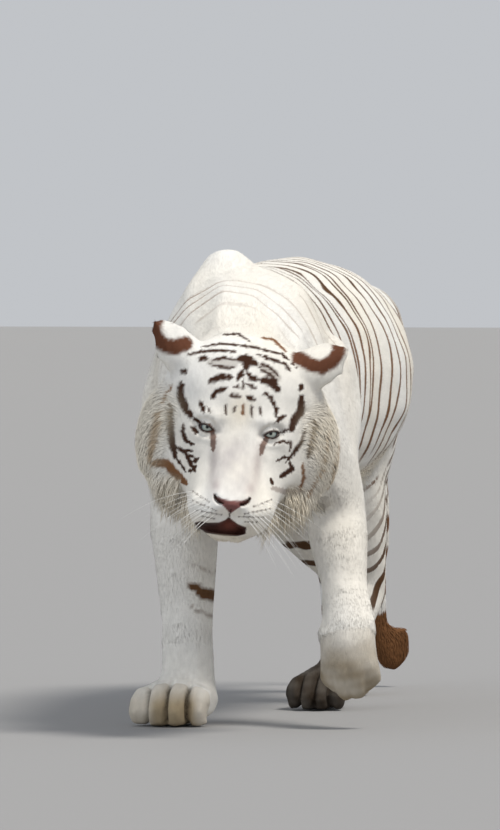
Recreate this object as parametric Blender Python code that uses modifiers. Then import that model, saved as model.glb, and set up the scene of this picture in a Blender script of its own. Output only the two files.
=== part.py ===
"""A life-size white tiger in mid-stride, head low, as solids that meet at thin cuts.

Metres, +Z up. The tiger faces -Y and its left side is +X. Lengths along the body are
measured from the raised right shoulder blade, and the finished solids are then moved so
that the origin is on the floor, under the middle of the box that holds them.

The body is modelled whole: lofts for the trunk, neck, limbs and tail, with rounded masses
for muscle and fur, are fused by a voxel remesh and smoothed. Thin plates then cut the whole
into the parts that a person would name.
"""
import math

import bmesh
import bpy
import numpy as np
from mathutils import Matrix, Vector
from mathutils.bvhtree import BVHTree

# ---------------------------------------------------------------- driving dimensions
PARTS, CUTTERS = "white_tiger", "cutters"        # the two collections
GAP = 0.0004             # the cuts between parts, and round the eyes and the nose
EYE_MIDPOINT = Vector((0.080, -0.545, 0.610))   # between the two eyes
HEAD_YAW, HEAD_ROLL, HEAD_PITCH = (math.radians(a) for a in (10.0, 6.0, 36.0))
EYE_SPACING = 0.128      # centre to centre
EYEBALL_RADIUS = 0.0185
SOLE_Z = 0.002           # the soles are cut flat at this height
ABOVE_BACK = 1.04        # over the highest point of the tiger
FORELEG_FREE_Z, HIND_LEG_FREE_Z = 0.385, 0.415   # below these the legs stand clear of the trunk
COARSE_VOXEL, FINE_VOXEL = 0.010, 0.005          # of the body, and of the head and the paws
CORE_EASING, SKULL_EASING, PAW_EASING, LAST_EASING = 32, 3, 2, 1     # rounds of smoothing
TRIANGLES = 3000         # about how many the whole body keeps before it is cut
FACE_REACH = 0.22        # round the eyes, where smaller triangles are kept
FACE_WEIGHT = 0.25
HEAD_LENGTH = 0.190      # from between the eyes to the cut behind the ruff
EYE_SEAT = (0.012, -0.003)               # y and z of the eyeballs in the head's frame
FORE_PAW_LENGTH, HIND_PAW_LENGTH = 0.190, 0.170

HEAD = (
    Matrix.Translation(EYE_MIDPOINT)
    @ Matrix.Rotation(HEAD_YAW, 4, "Z")
    @ Matrix.Rotation(HEAD_ROLL, 4, "Y")
    @ Matrix.Rotation(HEAD_PITCH, 4, "X")
)

# ---------------------------------------------------------------- building blocks


def new_object(name, mesh_builder, collection=PARTS):
    """An object from a bmesh, in one of the two collections."""
    mesh = bpy.data.meshes.new(name)
    mesh_builder.normal_update()
    bmesh.ops.recalc_face_normals(mesh_builder, faces=mesh_builder.faces)
    mesh_builder.to_mesh(mesh)
    mesh_builder.free()
    made = bpy.data.objects.new(name, mesh)
    bpy.data.collections[collection].objects.link(made)
    return made


def ball(centre, radii, tilt=(0.0, 0.0, 0.0), frame=None):
    """An ellipsoid: centre and radii in metres, tilt in degrees about X, Y and Z."""
    builder = bmesh.new()
    bmesh.ops.create_uvsphere(builder, u_segments=24, v_segments=16, radius=1.0)
    turn = Matrix.Identity(4)
    for axis, angle in zip("XYZ", tilt):
        turn = Matrix.Rotation(math.radians(angle), 4, axis) @ turn
    place = Matrix.Translation(centre) @ turn @ Matrix.Diagonal((*radii, 1.0))
    builder.transform(place if frame is None else frame @ place)
    return new_object("ball", builder)


def curve_through(rows, steps):
    """A smooth line through rows of numbers (Catmull-Rom), steps points to a span."""
    rows = np.array(rows, float)
    padded = np.vstack([2 * rows[0] - rows[1], rows, 2 * rows[-1] - rows[-2]])
    line = []
    for a, b, c, d in zip(padded, padded[1:], padded[2:], padded[3:]):
        for t in np.arange(steps) / steps:
            line.append(0.5 * (2 * b + (c - a) * t + (2 * a - 5 * b + 4 * c - d) * t * t
                               + (3 * b - a - 3 * c + d) * t ** 3))
    line.append(rows[-1])
    return np.array(line)


def skin_rings(rings, name="loft"):
    """A closed body through rings of equal point counts, its ends drawn to a point."""
    builder = bmesh.new()
    loops = [[builder.verts.new(p) for p in ring] for ring in rings]
    for one, two in zip(loops, loops[1:]):
        count = len(one)
        for i in range(count):
            j = (i + 1) % count
            builder.faces.new((one[i], one[j], two[j], two[i]))
    for loop in (loops[0], loops[-1]):
        tip = builder.verts.new(sum((v.co for v in loop), Vector()) / len(loop))
        for i, vert in enumerate(loop):
            builder.faces.new((vert, loop[(i + 1) % len(loop)], tip))
    return new_object(name, builder)


def limb(stations, side=(1.0, 0.0, 0.0), frame=None, segments=20, steps=5):
    """A round-ended tube. A station is (x, y, z, half width along side, half depth)."""
    line = curve_through(stations, steps)
    centres, sizes = line[:, :3], np.maximum(line[:, 3:], 0.002)
    along = np.gradient(centres, axis=0)
    along /= np.linalg.norm(along, axis=1, keepdims=True)
    rings = []
    for i, (centre, direction, size) in enumerate(zip(centres, along, sizes)):
        across = np.array(side) - direction * (direction @ np.array(side))
        across /= np.linalg.norm(across)
        deep = np.cross(direction, across)
        caps = ((0, -1.0), (len(centres) - 1, 1.0))
        ends = [sign for index, sign in caps if index == i]
        bulge = 0.8 * size.min()
        offsets = [(0.0, 1.0)]
        if ends:
            offsets = [(ends[0] * bulge * math.sin(a), math.cos(a))
                       for a in np.radians((0, 30, 55, 75))]
        if ends == [-1.0]:
            offsets.reverse()
        for shift, scale in offsets:
            rings.append([
                Vector(centre + direction * shift
                       + scale * (across * size[0] * math.cos(a) + deep * size[1] * math.sin(a)))
                for a in np.linspace(0, 2 * math.pi, segments, endpoint=False)
            ])
    if frame is not None:
        rings = [[frame @ p for p in ring] for ring in rings]
    return skin_rings(rings)


def fuse(pieces, name, voxel, smoothing):
    """Joins overlapping pieces into one closed surface and eases the creases between them."""
    with bpy.context.temp_override(active_object=pieces[0], selected_editable_objects=pieces,
                                   selected_objects=pieces):
        bpy.ops.object.join()
    whole = pieces[0]
    whole.name = name
    remesh = whole.modifiers.new("fuse", "REMESH")
    remesh.mode = "VOXEL"
    remesh.voxel_size = voxel
    ease = whole.modifiers.new("ease", "SMOOTH")
    ease.factor = 0.5
    ease.iterations = smoothing
    return apply_modifiers(whole)


def apply_modifiers(made):
    graph = bpy.context.evaluated_depsgraph_get()
    mesh = bpy.data.meshes.new_from_object(made.evaluated_get(graph))
    made.modifiers.clear()
    old, made.data = made.data, mesh
    bpy.data.meshes.remove(old)
    return made


def both_sides(build):
    """The pieces of build(side) for the left (+1) and the right (-1)."""
    return build(1) + build(-1)


# ---------------------------------------------------------------- trunk and neck

# y, mid x, top z, bottom z, half width, z where widest
TRUNK_STATIONS = (
    (-0.13, 0.005, 0.850, 0.560, 0.105, 0.690),
    (-0.06, 0.000, 0.915, 0.480, 0.165, 0.680),
    (0.05, 0.000, 0.935, 0.440, 0.192, 0.670),
    (0.20, 0.000, 0.938, 0.430, 0.207, 0.665),
    (0.40, 0.000, 0.950, 0.428, 0.226, 0.670),
    (0.58, 0.000, 0.950, 0.446, 0.240, 0.680),
    (0.72, 0.000, 0.943, 0.484, 0.234, 0.692),
    (0.86, 0.000, 0.932, 0.540, 0.206, 0.705),
    (0.98, 0.000, 0.914, 0.590, 0.172, 0.715),
    (1.08, 0.000, 0.885, 0.620, 0.130, 0.735),
    (1.15, 0.000, 0.845, 0.680, 0.080, 0.755),
)


def trunk_pieces():
    line = curve_through(TRUNK_STATIONS, 4)
    rings = []
    for y, mid, top, bottom, half, wide in line:
        ring = []
        for angle in np.linspace(0, 2 * math.pi, 40, endpoint=False):
            rise = math.sin(angle)
            height = (top - wide) if rise > 0 else (wide - bottom)
            reach = abs(math.cos(angle)) ** 0.94 * math.copysign(1, math.cos(angle))
            ring.append(Vector((mid + half * reach, y, wide + height * rise)))
        rings.append(ring)
    breast = ball((0.01, -0.120, 0.635), (0.130, 0.100, 0.150))
    breastbone = ball((0.0, -0.055, 0.530), (0.110, 0.120, 0.085))
    spine = limb((
        (0.0, 0.25, 0.912, 0.045, 0.030),
        (0.0, 0.60, 0.926, 0.050, 0.030),
        (0.0, 0.95, 0.902, 0.045, 0.028),
    ))
    return [skin_rings(rings), breast, breastbone, spine]


# x, y, z, half width, half depth
NECK_STATIONS = (
    (0.000, 0.060, 0.735, 0.155, 0.180),
    (0.004, -0.080, 0.735, 0.172, 0.190),
    (0.018, -0.200, 0.712, 0.166, 0.176),
    (0.040, -0.310, 0.690, 0.152, 0.158),
    (0.060, -0.400, 0.672, 0.138, 0.142),
)


def neck_pieces():
    crest = limb((
        (-0.020, 0.020, 0.900, 0.055, 0.040),
        (-0.005, -0.110, 0.875, 0.070, 0.050),
        (0.022, -0.250, 0.835, 0.076, 0.055),
        (0.045, -0.360, 0.775, 0.070, 0.050),
    ))
    throat = ball((0.040, -0.290, 0.595), (0.115, 0.130, 0.095), (20, 0, 0))
    return [limb(NECK_STATIONS), crest, throat]


# ---------------------------------------------------------------- forelegs

# Joints of each foreleg: top of the shoulder blade, point of the shoulder, elbow, wrist.
# The left one (+1) is lifted, and the right one (-1) carries the weight.
FORE = {
    -1: {"blade": (-0.036, 0.030, 0.916), "shoulder": (-0.138, -0.110, 0.660),
         "elbow": (-0.140, 0.045, 0.455), "wrist": (-0.122, -0.005, 0.165)},
    1: {"blade": (0.080, -0.015, 0.850), "shoulder": (0.156, -0.170, 0.635),
        "elbow": (0.190, -0.050, 0.455), "wrist": (0.236, -0.150, 0.215)},
}


# Share of the way from the elbow to the wrist, half width, half depth. The planted leg
# spreads under its load and reaches past the wrist into the paw.
FOREARM = {
    -1: ((-0.10, 0.0620, 0.0760), (0.16, 0.0740, 0.0820), (0.45, 0.0680, 0.0680),
         (0.72, 0.0590, 0.0550), (0.92, 0.0560, 0.0520), (1.15, 0.0600, 0.0520),
         (1.34, 0.0620, 0.0500)),
    1: ((-0.10, 0.05456, 0.06688), (0.16, 0.06512, 0.07216), (0.45, 0.05808, 0.05984),
        (0.72, 0.05104, 0.05104), (0.92, 0.0560, 0.0550), (1.00, 0.0580, 0.0540)),
}


def between(start, end, share):
    return tuple(a + (b - a) * share for a, b in zip(start, end))


def foreleg_pieces(side):
    joint = FORE[side]
    blade, shoulder, elbow, wrist = (joint[k] for k in ("blade", "shoulder", "elbow", "wrist"))
    return [
        limb((
            (*blade, 0.062, 0.095),
            (*between(blade, shoulder, 0.40), 0.070, 0.135),
            (*between(blade, shoulder, 0.80), 0.070, 0.118),
            (*shoulder, 0.064, 0.085),
        )),
        limb((
            (*shoulder, 0.064, 0.090),
            (*between(shoulder, elbow, 0.5), 0.072, 0.100),
            (*elbow, 0.066, 0.078),
        )),
        ball((elbow[0] - 0.012 * side, elbow[1] + 0.020, elbow[2] + 0.160),
             (0.064, 0.125, 0.190), (-14, 0, 0)),
        limb([(*between(elbow, wrist, share), wide, deep) for share, wide, deep in FOREARM[side]]),
    ]


# ---------------------------------------------------------------- hind legs

# Joints of each hind leg: hip, knee, hock, the ball of the foot
HIND = {
    -1: {"hip": (-0.090, 0.950, 0.740), "knee": (-0.082, 0.870, 0.450),
         "hock": (-0.004, 1.130, 0.275), "ball": (0.010, 1.150, 0.055)},
    1: {"hip": (0.092, 0.930, 0.740), "knee": (0.112, 0.680, 0.490),
        "hock": (0.128, 0.775, 0.240), "ball": (0.076, 0.590, 0.055)},
}


def hind_leg_pieces(side):
    joint = HIND[side]
    hip, knee, hock, foot = (joint[k] for k in ("hip", "knee", "hock", "ball"))
    buttock = (0.084 * side, 1.085, 0.720)
    hollow = between(knee, buttock, 0.36)        # behind the knee
    calf = between(hollow, hock, 0.30)
    return [
        ball((0.084 * side, 0.975, 0.750), (0.096, 0.150, 0.145)),
        limb((
            (*hip, 0.080, 0.160),
            (*between(hip, knee, 0.35), 0.088, 0.165),
            (*between(hip, knee, 0.70), 0.080, 0.135),
            (*knee, 0.062, 0.090),
            (*between(knee, hock, 0.12), 0.056, 0.070),
        )),
        limb((
            (*buttock, 0.070, 0.080),
            (*between(buttock, hollow, 0.45), 0.074, 0.105),
            (*between(buttock, hollow, 0.80), 0.068, 0.095),
            (*hollow, 0.062, 0.088),
            (*calf, 0.054, 0.076),
            (*between(hollow, hock, 0.62), 0.044, 0.056),
            (*between(hollow, hock, 0.86), 0.033, 0.040),
            (*hock, 0.028, 0.034),
        )),
        limb((
            (*knee, 0.064, 0.090),
            (*between(knee, hock, 0.30), 0.062, 0.084),
            (*between(knee, hock, 0.60), 0.052, 0.068),
            (*between(knee, hock, 0.85), 0.043, 0.054),
            (*hock, 0.041, 0.054),
        )),
        ball((hock[0], hock[1] + 0.022, hock[2] + 0.008), (0.028, 0.030, 0.038)),
        limb((
            (*between(hock, foot, -0.05), 0.040, 0.050),
            (*between(hock, foot, 0.35), 0.041, 0.045),
            (*between(hock, foot, 0.70), 0.046, 0.045),
            (*foot, 0.054, 0.050),
        )),
    ]


# ---------------------------------------------------------------- paws


def paw_pieces(frame, width, length, height, toes_curl):
    """A paw in its own frame: X across, -Y towards the toes, origin under the wrist.

    Four toes lie close together over a broad palm, the middle two reaching furthest.
    """
    pieces = [
        ball((0, -0.26 * length, 0.46 * height), (0.46 * width, 0.44 * length, 0.50 * height),
             frame=frame),
        ball((0, -0.50 * length, 0.42 * height), (0.48 * width, 0.38 * length, 0.42 * height),
             frame=frame),
    ]
    radius = 0.138 * width
    for place, reach in ((-0.365, 0.84), (-0.126, 1.0), (0.126, 1.0), (0.365, 0.84)):
        x = place * width
        pieces.append(limb((
            (x * 0.94, -0.52 * length * reach, 0.62 * height, radius * 0.9, radius * 0.9),
            (x, -0.78 * length * reach, 0.50 * height - toes_curl * 0.5, radius, radius * 1.05),
            (x * 1.02, -0.93 * length * reach, 0.27 * height - toes_curl, radius * 0.92,
             radius * 0.92),
        ), frame=frame, segments=14))
        pieces.append(ball(
            (x * 1.01, -0.84 * length * reach, 0.12 * height - toes_curl),
            (radius * 0.9, radius * 1.0, 0.18 * height), frame=frame))
    return pieces


def floor_frame(x, y, turn):
    """A planted paw's frame: turn in degrees, positive to the tiger's left."""
    return Matrix.Translation((x, y, 0.0)) @ Matrix.Rotation(math.radians(turn), 4, "Z")


FORE_PAW_FRAME = floor_frame(-0.120, 0.012, -8)
HIND_PAW_FRAMES = {1: floor_frame(0.068, 0.618, -4), -1: floor_frame(0.012, 1.178, 4)}


def planted_paws():
    fore = paw_pieces(FORE_PAW_FRAME, 0.170, FORE_PAW_LENGTH, 0.112, 0.0)
    return fore + [piece for frame in HIND_PAW_FRAMES.values()
                   for piece in paw_pieces(frame, 0.132, HIND_PAW_LENGTH, 0.102, 0.0)]


LIFTED_PAW = (
    Matrix.Translation((0.232, -0.100, 0.220))
    @ Matrix.Rotation(math.radians(-6), 4, "Y")
    @ Matrix.Rotation(math.radians(70), 4, "X")
)


def lifted_paw():
    return paw_pieces(LIFTED_PAW, 0.136, 0.180, 0.100, 0.014)


# ---------------------------------------------------------------- tail

# x, y, z, half width, half depth
TAIL_STATIONS = (
    (0.000, 1.110, 0.790, 0.052, 0.052),
    (0.012, 1.215, 0.755, 0.040, 0.040),
    (0.032, 1.310, 0.640, 0.030, 0.030),
    (0.048, 1.365, 0.490, 0.0255, 0.0255),
    (0.050, 1.392, 0.340, 0.0225, 0.0225),
    (0.042, 1.402, 0.190, 0.0215, 0.0215),
    (0.048, 1.408, 0.095, 0.0215, 0.0215),
    (0.068, 1.412, 0.056, 0.022, 0.022),
    (0.092, 1.415, 0.078, 0.023, 0.023),
    (0.094, 1.415, 0.128, 0.021, 0.021),
)


# ---------------------------------------------------------------- head

# The head's own frame: X to the tiger's left, -Y forward along the level muzzle, Z up,
# with the origin between the eyes. Each section is y, top z, then five points (x, z) down
# the side, then bottom z.
HEAD_SECTIONS = (
    (-0.152, -0.050, (0.020, -0.052), (0.033, -0.064), (0.042, -0.084), (0.044, -0.108),
     (0.030, -0.130), -0.136),
    (-0.136, -0.041, (0.025, -0.044), (0.046, -0.062), (0.066, -0.090), (0.070, -0.118),
     (0.046, -0.150), -0.158),
    (-0.104, -0.031, (0.031, -0.035), (0.054, -0.056), (0.079, -0.090), (0.085, -0.122),
     (0.060, -0.170), -0.186),
    (-0.066, -0.018, (0.035, -0.023), (0.057, -0.048), (0.082, -0.086), (0.090, -0.124),
     (0.070, -0.180), -0.200),
    (-0.028, 0.000, (0.040, -0.005), (0.060, -0.024), (0.086, -0.068), (0.100, -0.116),
     (0.086, -0.176), -0.200),
    (0.006, 0.024, (0.046, 0.021), (0.080, 0.010), (0.112, -0.044), (0.130, -0.108),
     (0.116, -0.180), -0.206),
    (0.040, 0.060, (0.054, 0.055), (0.102, 0.034), (0.144, -0.030), (0.168, -0.104),
     (0.152, -0.190), -0.222),
    (0.080, 0.092, (0.062, 0.087), (0.120, 0.058), (0.170, -0.018), (0.196, -0.098),
     (0.180, -0.196), -0.234),
    (0.125, 0.112, (0.066, 0.107), (0.128, 0.072), (0.176, -0.002), (0.204, -0.088),
     (0.184, -0.186), -0.234),
    (0.170, 0.110, (0.062, 0.103), (0.114, 0.068), (0.152, 0.000), (0.176, -0.074),
     (0.156, -0.156), -0.204),
    (0.215, 0.092, (0.050, 0.084), (0.088, 0.050), (0.112, -0.004), (0.124, -0.064),
     (0.102, -0.122), -0.158),
)


# The nose leather's outline (x, z) from in front
NOSE_OUTLINE = ((0.030, -0.036), (0.038, -0.052), (0.034, -0.074), (0.014, -0.098),
                (-0.014, -0.098), (-0.034, -0.074), (-0.038, -0.052), (-0.030, -0.036))
# Lines (y, z) in the head's frame along which the jaw and muzzle are cut off
MOUTH_CUT = ((-0.200, -0.146), (-0.120, -0.150), (-0.060, -0.142), (-0.020, -0.150),
             (0.010, -0.190), (0.020, -0.270))
MUZZLE_CUT = ((-0.050, 0.040), (-0.036, -0.060), (-0.006, -0.170), (-0.006, -0.240))


def head_loft():
    flat = [[y, 0.0, top, *one, *two, *three, *four, *five, 0.0, bottom]
            for y, top, one, two, three, four, five, bottom in HEAD_SECTIONS]
    rings = []
    for row in curve_through(flat, 4):
        half = curve_through(row[1:].reshape(7, 2), 4)
        half[:, 0] = np.maximum(half[:, 0], 0.0)
        outline = np.vstack([half, (half * (-1, 1))[-2:0:-1]])
        rings.append([HEAD @ Vector((x, row[0], z)) for x, z in outline])
    return skin_rings(rings)


def head_pieces():
    def one_side(side):
        return [
            ball((0.060 * side, 0.022, 0.018), (0.036, 0.028, 0.016), (30, -12 * side, 0), HEAD),
            ball((0.044 * side, -0.106, -0.104), (0.044, 0.046, 0.038), frame=HEAD),
        ]
    return [
        head_loft(),
        ball((0, -0.142, -0.064), (0.036, 0.018, 0.022), frame=HEAD),
        ball((0, -0.104, -0.172), (0.046, 0.038, 0.036), frame=HEAD),
    ] + both_sides(one_side)


# Each ear: where it springs from, and the way it reaches, in the head's frame
EAR_ROOT = (0.116, 0.130, 0.074)
EAR_LENGTH = 0.098
EAR_REACH = {-1: (-0.72, 0.30, 0.55), 1: (0.83, 0.30, 0.35)}
EAR_BACK = (0.0, -0.45, 0.89)      # the backs of the ears are turned up and forward


def ear_root(side):
    return Vector((EAR_ROOT[0] * side, EAR_ROOT[1], EAR_ROOT[2]))


def ear_axes(side):
    """Along the ear, across it, and out of its back."""
    out = Vector(EAR_REACH[side]).normalized()
    across = out.cross(Vector(EAR_BACK)).normalized()
    return out, across, across.cross(out)


def ear_pieces(side):
    """A cupped leaf, laid out sideways, that opens down and back."""
    out, across, back = ear_axes(side)
    root = ear_root(side)
    rings = []
    for share, half in ((-0.35, 0.042), (0.0, 0.047), (0.25, 0.048), (0.50, 0.045),
                        (0.72, 0.038), (0.88, 0.027), (1.0, 0.012)):
        middle = root + out * (share * EAR_LENGTH)
        cup = 0.030 * (1.0 - 0.6 * max(share, 0.0))
        ring = []
        for face in (1.0, -1.0):
            for step in np.linspace(-1, 1, 11) * face:
                lift = 0.5 * cup - cup * step ** 2 + 0.0090 * face * (1.0 - 0.5 * step ** 4)
                ring.append(HEAD @ (middle + across * (half * step) + back * lift))
        rings.append(ring)
    return [skin_rings(rings)]


# ---------------------------------------------------------------- where the legs part

# Lines seen from above, top and bottom, round each shoulder and each thigh
SHOULDER_CURTAINS = {
    1: (((0.36, -0.320), (0.165, -0.270), (0.125, -0.040), (0.150, 0.150), (0.36, 0.210)),
        ((0.36, -0.320), (0.135, -0.230), (0.095, -0.060), (0.120, 0.110), (0.36, 0.210))),
    -1: (((-0.36, -0.280), (-0.150, -0.225), (-0.115, -0.020), (-0.150, 0.160), (-0.36, 0.210)),
         ((-0.36, -0.280), (-0.080, -0.190), (-0.052, 0.000), (-0.090, 0.150), (-0.36, 0.210))),
}
THIGH_CURTAINS = {
    1: (((0.36, 0.760), (0.170, 0.800), (0.115, 0.950), (0.110, 1.300)),
        ((0.36, 0.530), (0.095, 0.560), (0.020, 0.700), (0.020, 1.300))),
    -1: (((-0.36, 0.780), (-0.170, 0.820), (-0.115, 0.960), (-0.110, 1.300)),
         ((-0.36, 0.700), (-0.080, 0.740), (0.004, 0.840), (0.006, 1.300))),
}


# ---------------------------------------------------------------- the body as one solid


def smooth_regions(whole):
    """A vertex group that weighs most where the form is plain and little on the face."""
    group = whole.vertex_groups.new(name="plain")
    face = [v.index for v in whole.data.vertices if (v.co - EYE_MIDPOINT).length < FACE_REACH]
    group.add(range(len(whole.data.vertices)), 1.0, "REPLACE")
    group.add(face, FACE_WEIGHT, "REPLACE")
    return group


def build_whole():
    core = fuse(trunk_pieces() + neck_pieces() + both_sides(foreleg_pieces)
                + both_sides(hind_leg_pieces) + [limb(TAIL_STATIONS[:4])],
                "core", COARSE_VOXEL, CORE_EASING)
    skull = fuse(head_pieces(), "skull", FINE_VOXEL, SKULL_EASING)
    paws = fuse(planted_paws() + lifted_paw(), "paws", FINE_VOXEL, PAW_EASING)
    whole = fuse([core, skull, paws, limb(TAIL_STATIONS)] + both_sides(ear_pieces),
                 "whole", FINE_VOXEL, LAST_EASING)
    fewer = whole.modifiers.new("fewer", "DECIMATE")
    fewer.vertex_group = smooth_regions(whole).name
    whole.data.calc_loop_triangles()
    fewer.ratio = TRIANGLES / len(whole.data.loop_triangles)
    return apply_modifiers(whole)


# ---------------------------------------------------------------- cuts


def subtract(body, cutter):
    """Takes the cutter out of the body, and the cutter out of the scene."""
    cut = body.modifiers.new("cut", "BOOLEAN")
    cut.operation = "DIFFERENCE"
    cut.solver = "EXACT"
    cut.use_self = True
    cut.object = cutter
    apply_modifiers(body)
    bpy.data.objects.remove(cutter)


def curtain(upper, lower):
    """A plate GAP thick, hung between two lines with equal numbers of points."""
    builder = bmesh.new()
    top = [builder.verts.new(p) for p in upper]
    foot = [builder.verts.new(p) for p in lower]
    for a, b, c, d in zip(top, top[1:], foot[1:], foot):
        builder.faces.new((a, b, c))
        builder.faces.new((a, c, d))
    made = new_object("curtain", builder, CUTTERS)
    return thickened(made)


def thickened(sheet):
    """A sheet made GAP thick."""
    thick = sheet.modifiers.new("thick", "SOLIDIFY")
    thick.thickness = GAP
    thick.offset = 0.0
    return apply_modifiers(sheet)


def hung(upper, top_z, lower, bottom_z):
    """A curtain from two lines seen from above."""
    return curtain([(x, y, top_z) for x, y in upper], [(x, y, bottom_z) for x, y in lower])


def plate(centre, facing, reach):
    """A square plate with its middle at centre, square to facing, reach to each side."""
    turn = Vector(facing).to_track_quat("Z", "Y").to_matrix().to_4x4()
    place = Matrix.Translation(centre) @ turn
    corners = [place @ Vector((x * reach, y * reach, 0.0))
               for x, y in ((-1, -1), (1, -1), (1, 1), (-1, 1))]
    return curtain(corners[:2], (corners[3], corners[2]))


def profile(points, half_width):
    """A plate in the head's frame: a line (y, z) seen from the side, drawn across."""
    return curtain([HEAD @ Vector((half_width, y, z)) for y, z in points],
                   [HEAD @ Vector((-half_width, y, z)) for y, z in points])


def cup(outline, front, back):
    """A thin cup in the head's frame: an outline (x, z) from y front to y back, closed there."""
    builder = bmesh.new()
    rim, base = ([builder.verts.new(HEAD @ Vector((x, y, z))) for x, z in outline]
                 for y in (front, back))
    for i in range(len(outline)):
        j = (i + 1) % len(outline)
        builder.faces.new((rim[i], rim[j], base[j], base[i]))
    builder.faces.new(base)
    made = new_object("cup", builder, CUTTERS)
    return thickened(made)


def islands(mesh):
    """The vertex sets of the separate bodies in a mesh."""
    owner = list(range(len(mesh.vertices)))

    def top(i):
        while owner[i] != i:
            owner[i] = owner[owner[i]]
            i = owner[i]
        return i

    for edge in mesh.edges:
        a, b = (top(i) for i in edge.vertices)
        owner[a] = b
    groups = {}
    for i in range(len(owner)):
        groups.setdefault(top(i), []).append(i)
    return list(groups.values())


def part_off(body, cutter, name, seed):
    """Cuts a body in two: the part nearest the seed takes the name and the body the rest."""
    subtract(body, cutter)
    groups = islands(body.data)
    if len(groups) != 2:
        raise RuntimeError(f"{name}: {len(groups)} pieces")
    distances = []
    for group in groups:
        member = set(group)
        faces = [f for f in body.data.polygons if f.vertices[0] in member]
        tree = BVHTree.FromPolygons([v.co for v in body.data.vertices],
                                    [tuple(f.vertices) for f in faces])
        distances.append(tree.find_nearest(Vector(seed))[3])
    wanted = set(groups[distances.index(min(distances))])
    pieces = []
    for keep in (True, False):
        builder = bmesh.new()
        builder.from_mesh(body.data)
        builder.verts.ensure_lookup_table()
        gone = [v for v in builder.verts if (v.index in wanted) != keep]
        bmesh.ops.delete(builder, geom=gone, context="VERTS")
        pieces.append(builder)
    part = new_object(name, pieces[0])
    pieces[1].to_mesh(body.data)
    pieces[1].free()
    return part


def cut_tail(body):
    line = curve_through(TAIL_STATIONS, 5)
    last = len(line) - 1
    rest = body
    names = ("tail_root", "tail_upper", "tail_middle", "tail_lower", "tail_tip")
    for name, at in zip(names, (3, 9, 15, 20, 26)):
        centre, direction = line[at, :3], line[at + 1, :3] - line[at - 1, :3]
        reach = 0.075 if at == 3 else 0.034
        rest = part_off(rest, plate(centre, direction, reach), name, line[last, :3])
    return rest


def cut_head(body):
    back_of_head = [HEAD @ Vector((x, HEAD_LENGTH, z)) for x, z in
                    ((-0.25, 0.17), (0.25, 0.17), (-0.25, -0.28), (0.25, -0.28))]
    head = part_off(body, curtain(back_of_head[:2], back_of_head[2:]), "head", EYE_MIDPOINT)
    for side, name in ((1, "left_ear"), (-1, "right_ear")):
        out, across, back = ear_axes(side)
        middle = ear_root(side) + out * (0.30 * EAR_LENGTH)
        corners = [HEAD @ (middle + across * x + back * z) for x, z in
                   ((-0.060, 0.030), (0.060, 0.030), (-0.060, -0.024), (0.060, -0.024))]
        tip = HEAD @ (ear_root(side) + out * EAR_LENGTH)
        part_off(head, curtain(corners[:2], corners[2:]), name, tip)
    part_off(head, cup(NOSE_OUTLINE, -0.190, -0.138), "nose", HEAD @ Vector((0, -0.160, -0.070)))
    part_off(head, profile(MOUTH_CUT, 0.130), "jaw", HEAD @ Vector((0, -0.100, -0.210)))
    part_off(head, profile(MUZZLE_CUT, 0.200), "muzzle", HEAD @ Vector((0, -0.140, -0.100)))
    for side, name in ((1, "left_eye"), (-1, "right_eye")):
        centre = (EYE_SPACING / 2 * side, *EYE_SEAT)
        subtract(head, eyeball("socket", centre, EYEBALL_RADIUS + GAP, CUTTERS))
        eyeball(name, centre, EYEBALL_RADIUS, PARTS)


def eyeball(name, centre, radius, collection):
    builder = bmesh.new()
    bmesh.ops.create_uvsphere(builder, u_segments=16, v_segments=10, radius=radius)
    builder.transform(HEAD @ Matrix.Translation(centre) @ Matrix.Rotation(math.pi / 2, 4, "X"))
    return new_object(name, builder, collection)


def cut_foreleg(body, side):
    joint = FORE[side]
    shoulder, elbow, wrist = (Vector(joint[k]) for k in ("shoulder", "elbow", "wrist"))
    name = "left" if side > 0 else "right"
    paw_frame = LIFTED_PAW if side > 0 else FORE_PAW_FRAME
    upper, lower = SHOULDER_CURTAINS[side]
    curtain_round_shoulder = hung(upper, ABOVE_BACK, lower, FORELEG_FREE_Z)
    leg = part_off(body, curtain_round_shoulder, f"{name}_shoulder", wrist)
    arm = part_off(leg, plate(shoulder.lerp(elbow, 0.35), elbow - shoulder, 0.40),
                   f"{name}_upper_arm", wrist)
    forearm = part_off(arm, plate(elbow.lerp(wrist, 0.02), wrist - elbow, 0.30),
                       f"{name}_forearm", wrist)
    toe = paw_frame @ Vector((0, -0.20, 0.02))
    ankle = wrist.lerp(elbow, -0.10 if side > 0 else 0.0)
    paw = part_off(forearm, plate(ankle, wrist - elbow, 0.11), f"{name}_fore_paw", toe)
    cut_toes(paw, paw_frame, FORE_PAW_LENGTH, name + "_fore_toes")


def cut_toes(paw, frame, length, name):
    centre = frame @ Vector((0, -0.62 * length, 0.05))
    toe = frame @ Vector((0, -length, 0.02))
    facing = frame.to_3x3() @ Vector((0, -1, -0.25))
    part_off(paw, plate(centre, facing, 0.16), name, toe)


def cut_hind_leg(body, side):
    joint = HIND[side]
    knee, hock, foot = (Vector(joint[k]) for k in ("knee", "hock", "ball"))
    name = "left" if side > 0 else "right"
    upper, lower = THIGH_CURTAINS[side]
    curtain_round_thigh = hung(upper, ABOVE_BACK, lower, HIND_LEG_FREE_Z)
    leg = part_off(body, curtain_round_thigh, f"{name}_thigh", foot)
    shank = part_off(leg, plate(knee.lerp(hock, 0.20), (0, 0.35, -1), 0.60), f"{name}_shank", foot)
    cannon = part_off(shank, plate(knee.lerp(hock, 0.80), hock - knee, 0.12),
                      f"{name}_hind_cannon", foot)
    frame = HIND_PAW_FRAMES[side]
    toe = frame @ Vector((0, -0.20, 0.02))
    paw = part_off(cannon, plate(foot.lerp(hock, 0.22), foot - hock, 0.12),
                   f"{name}_hind_paw", toe)
    cut_toes(paw, frame, HIND_PAW_LENGTH, name + "_hind_toes")


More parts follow.
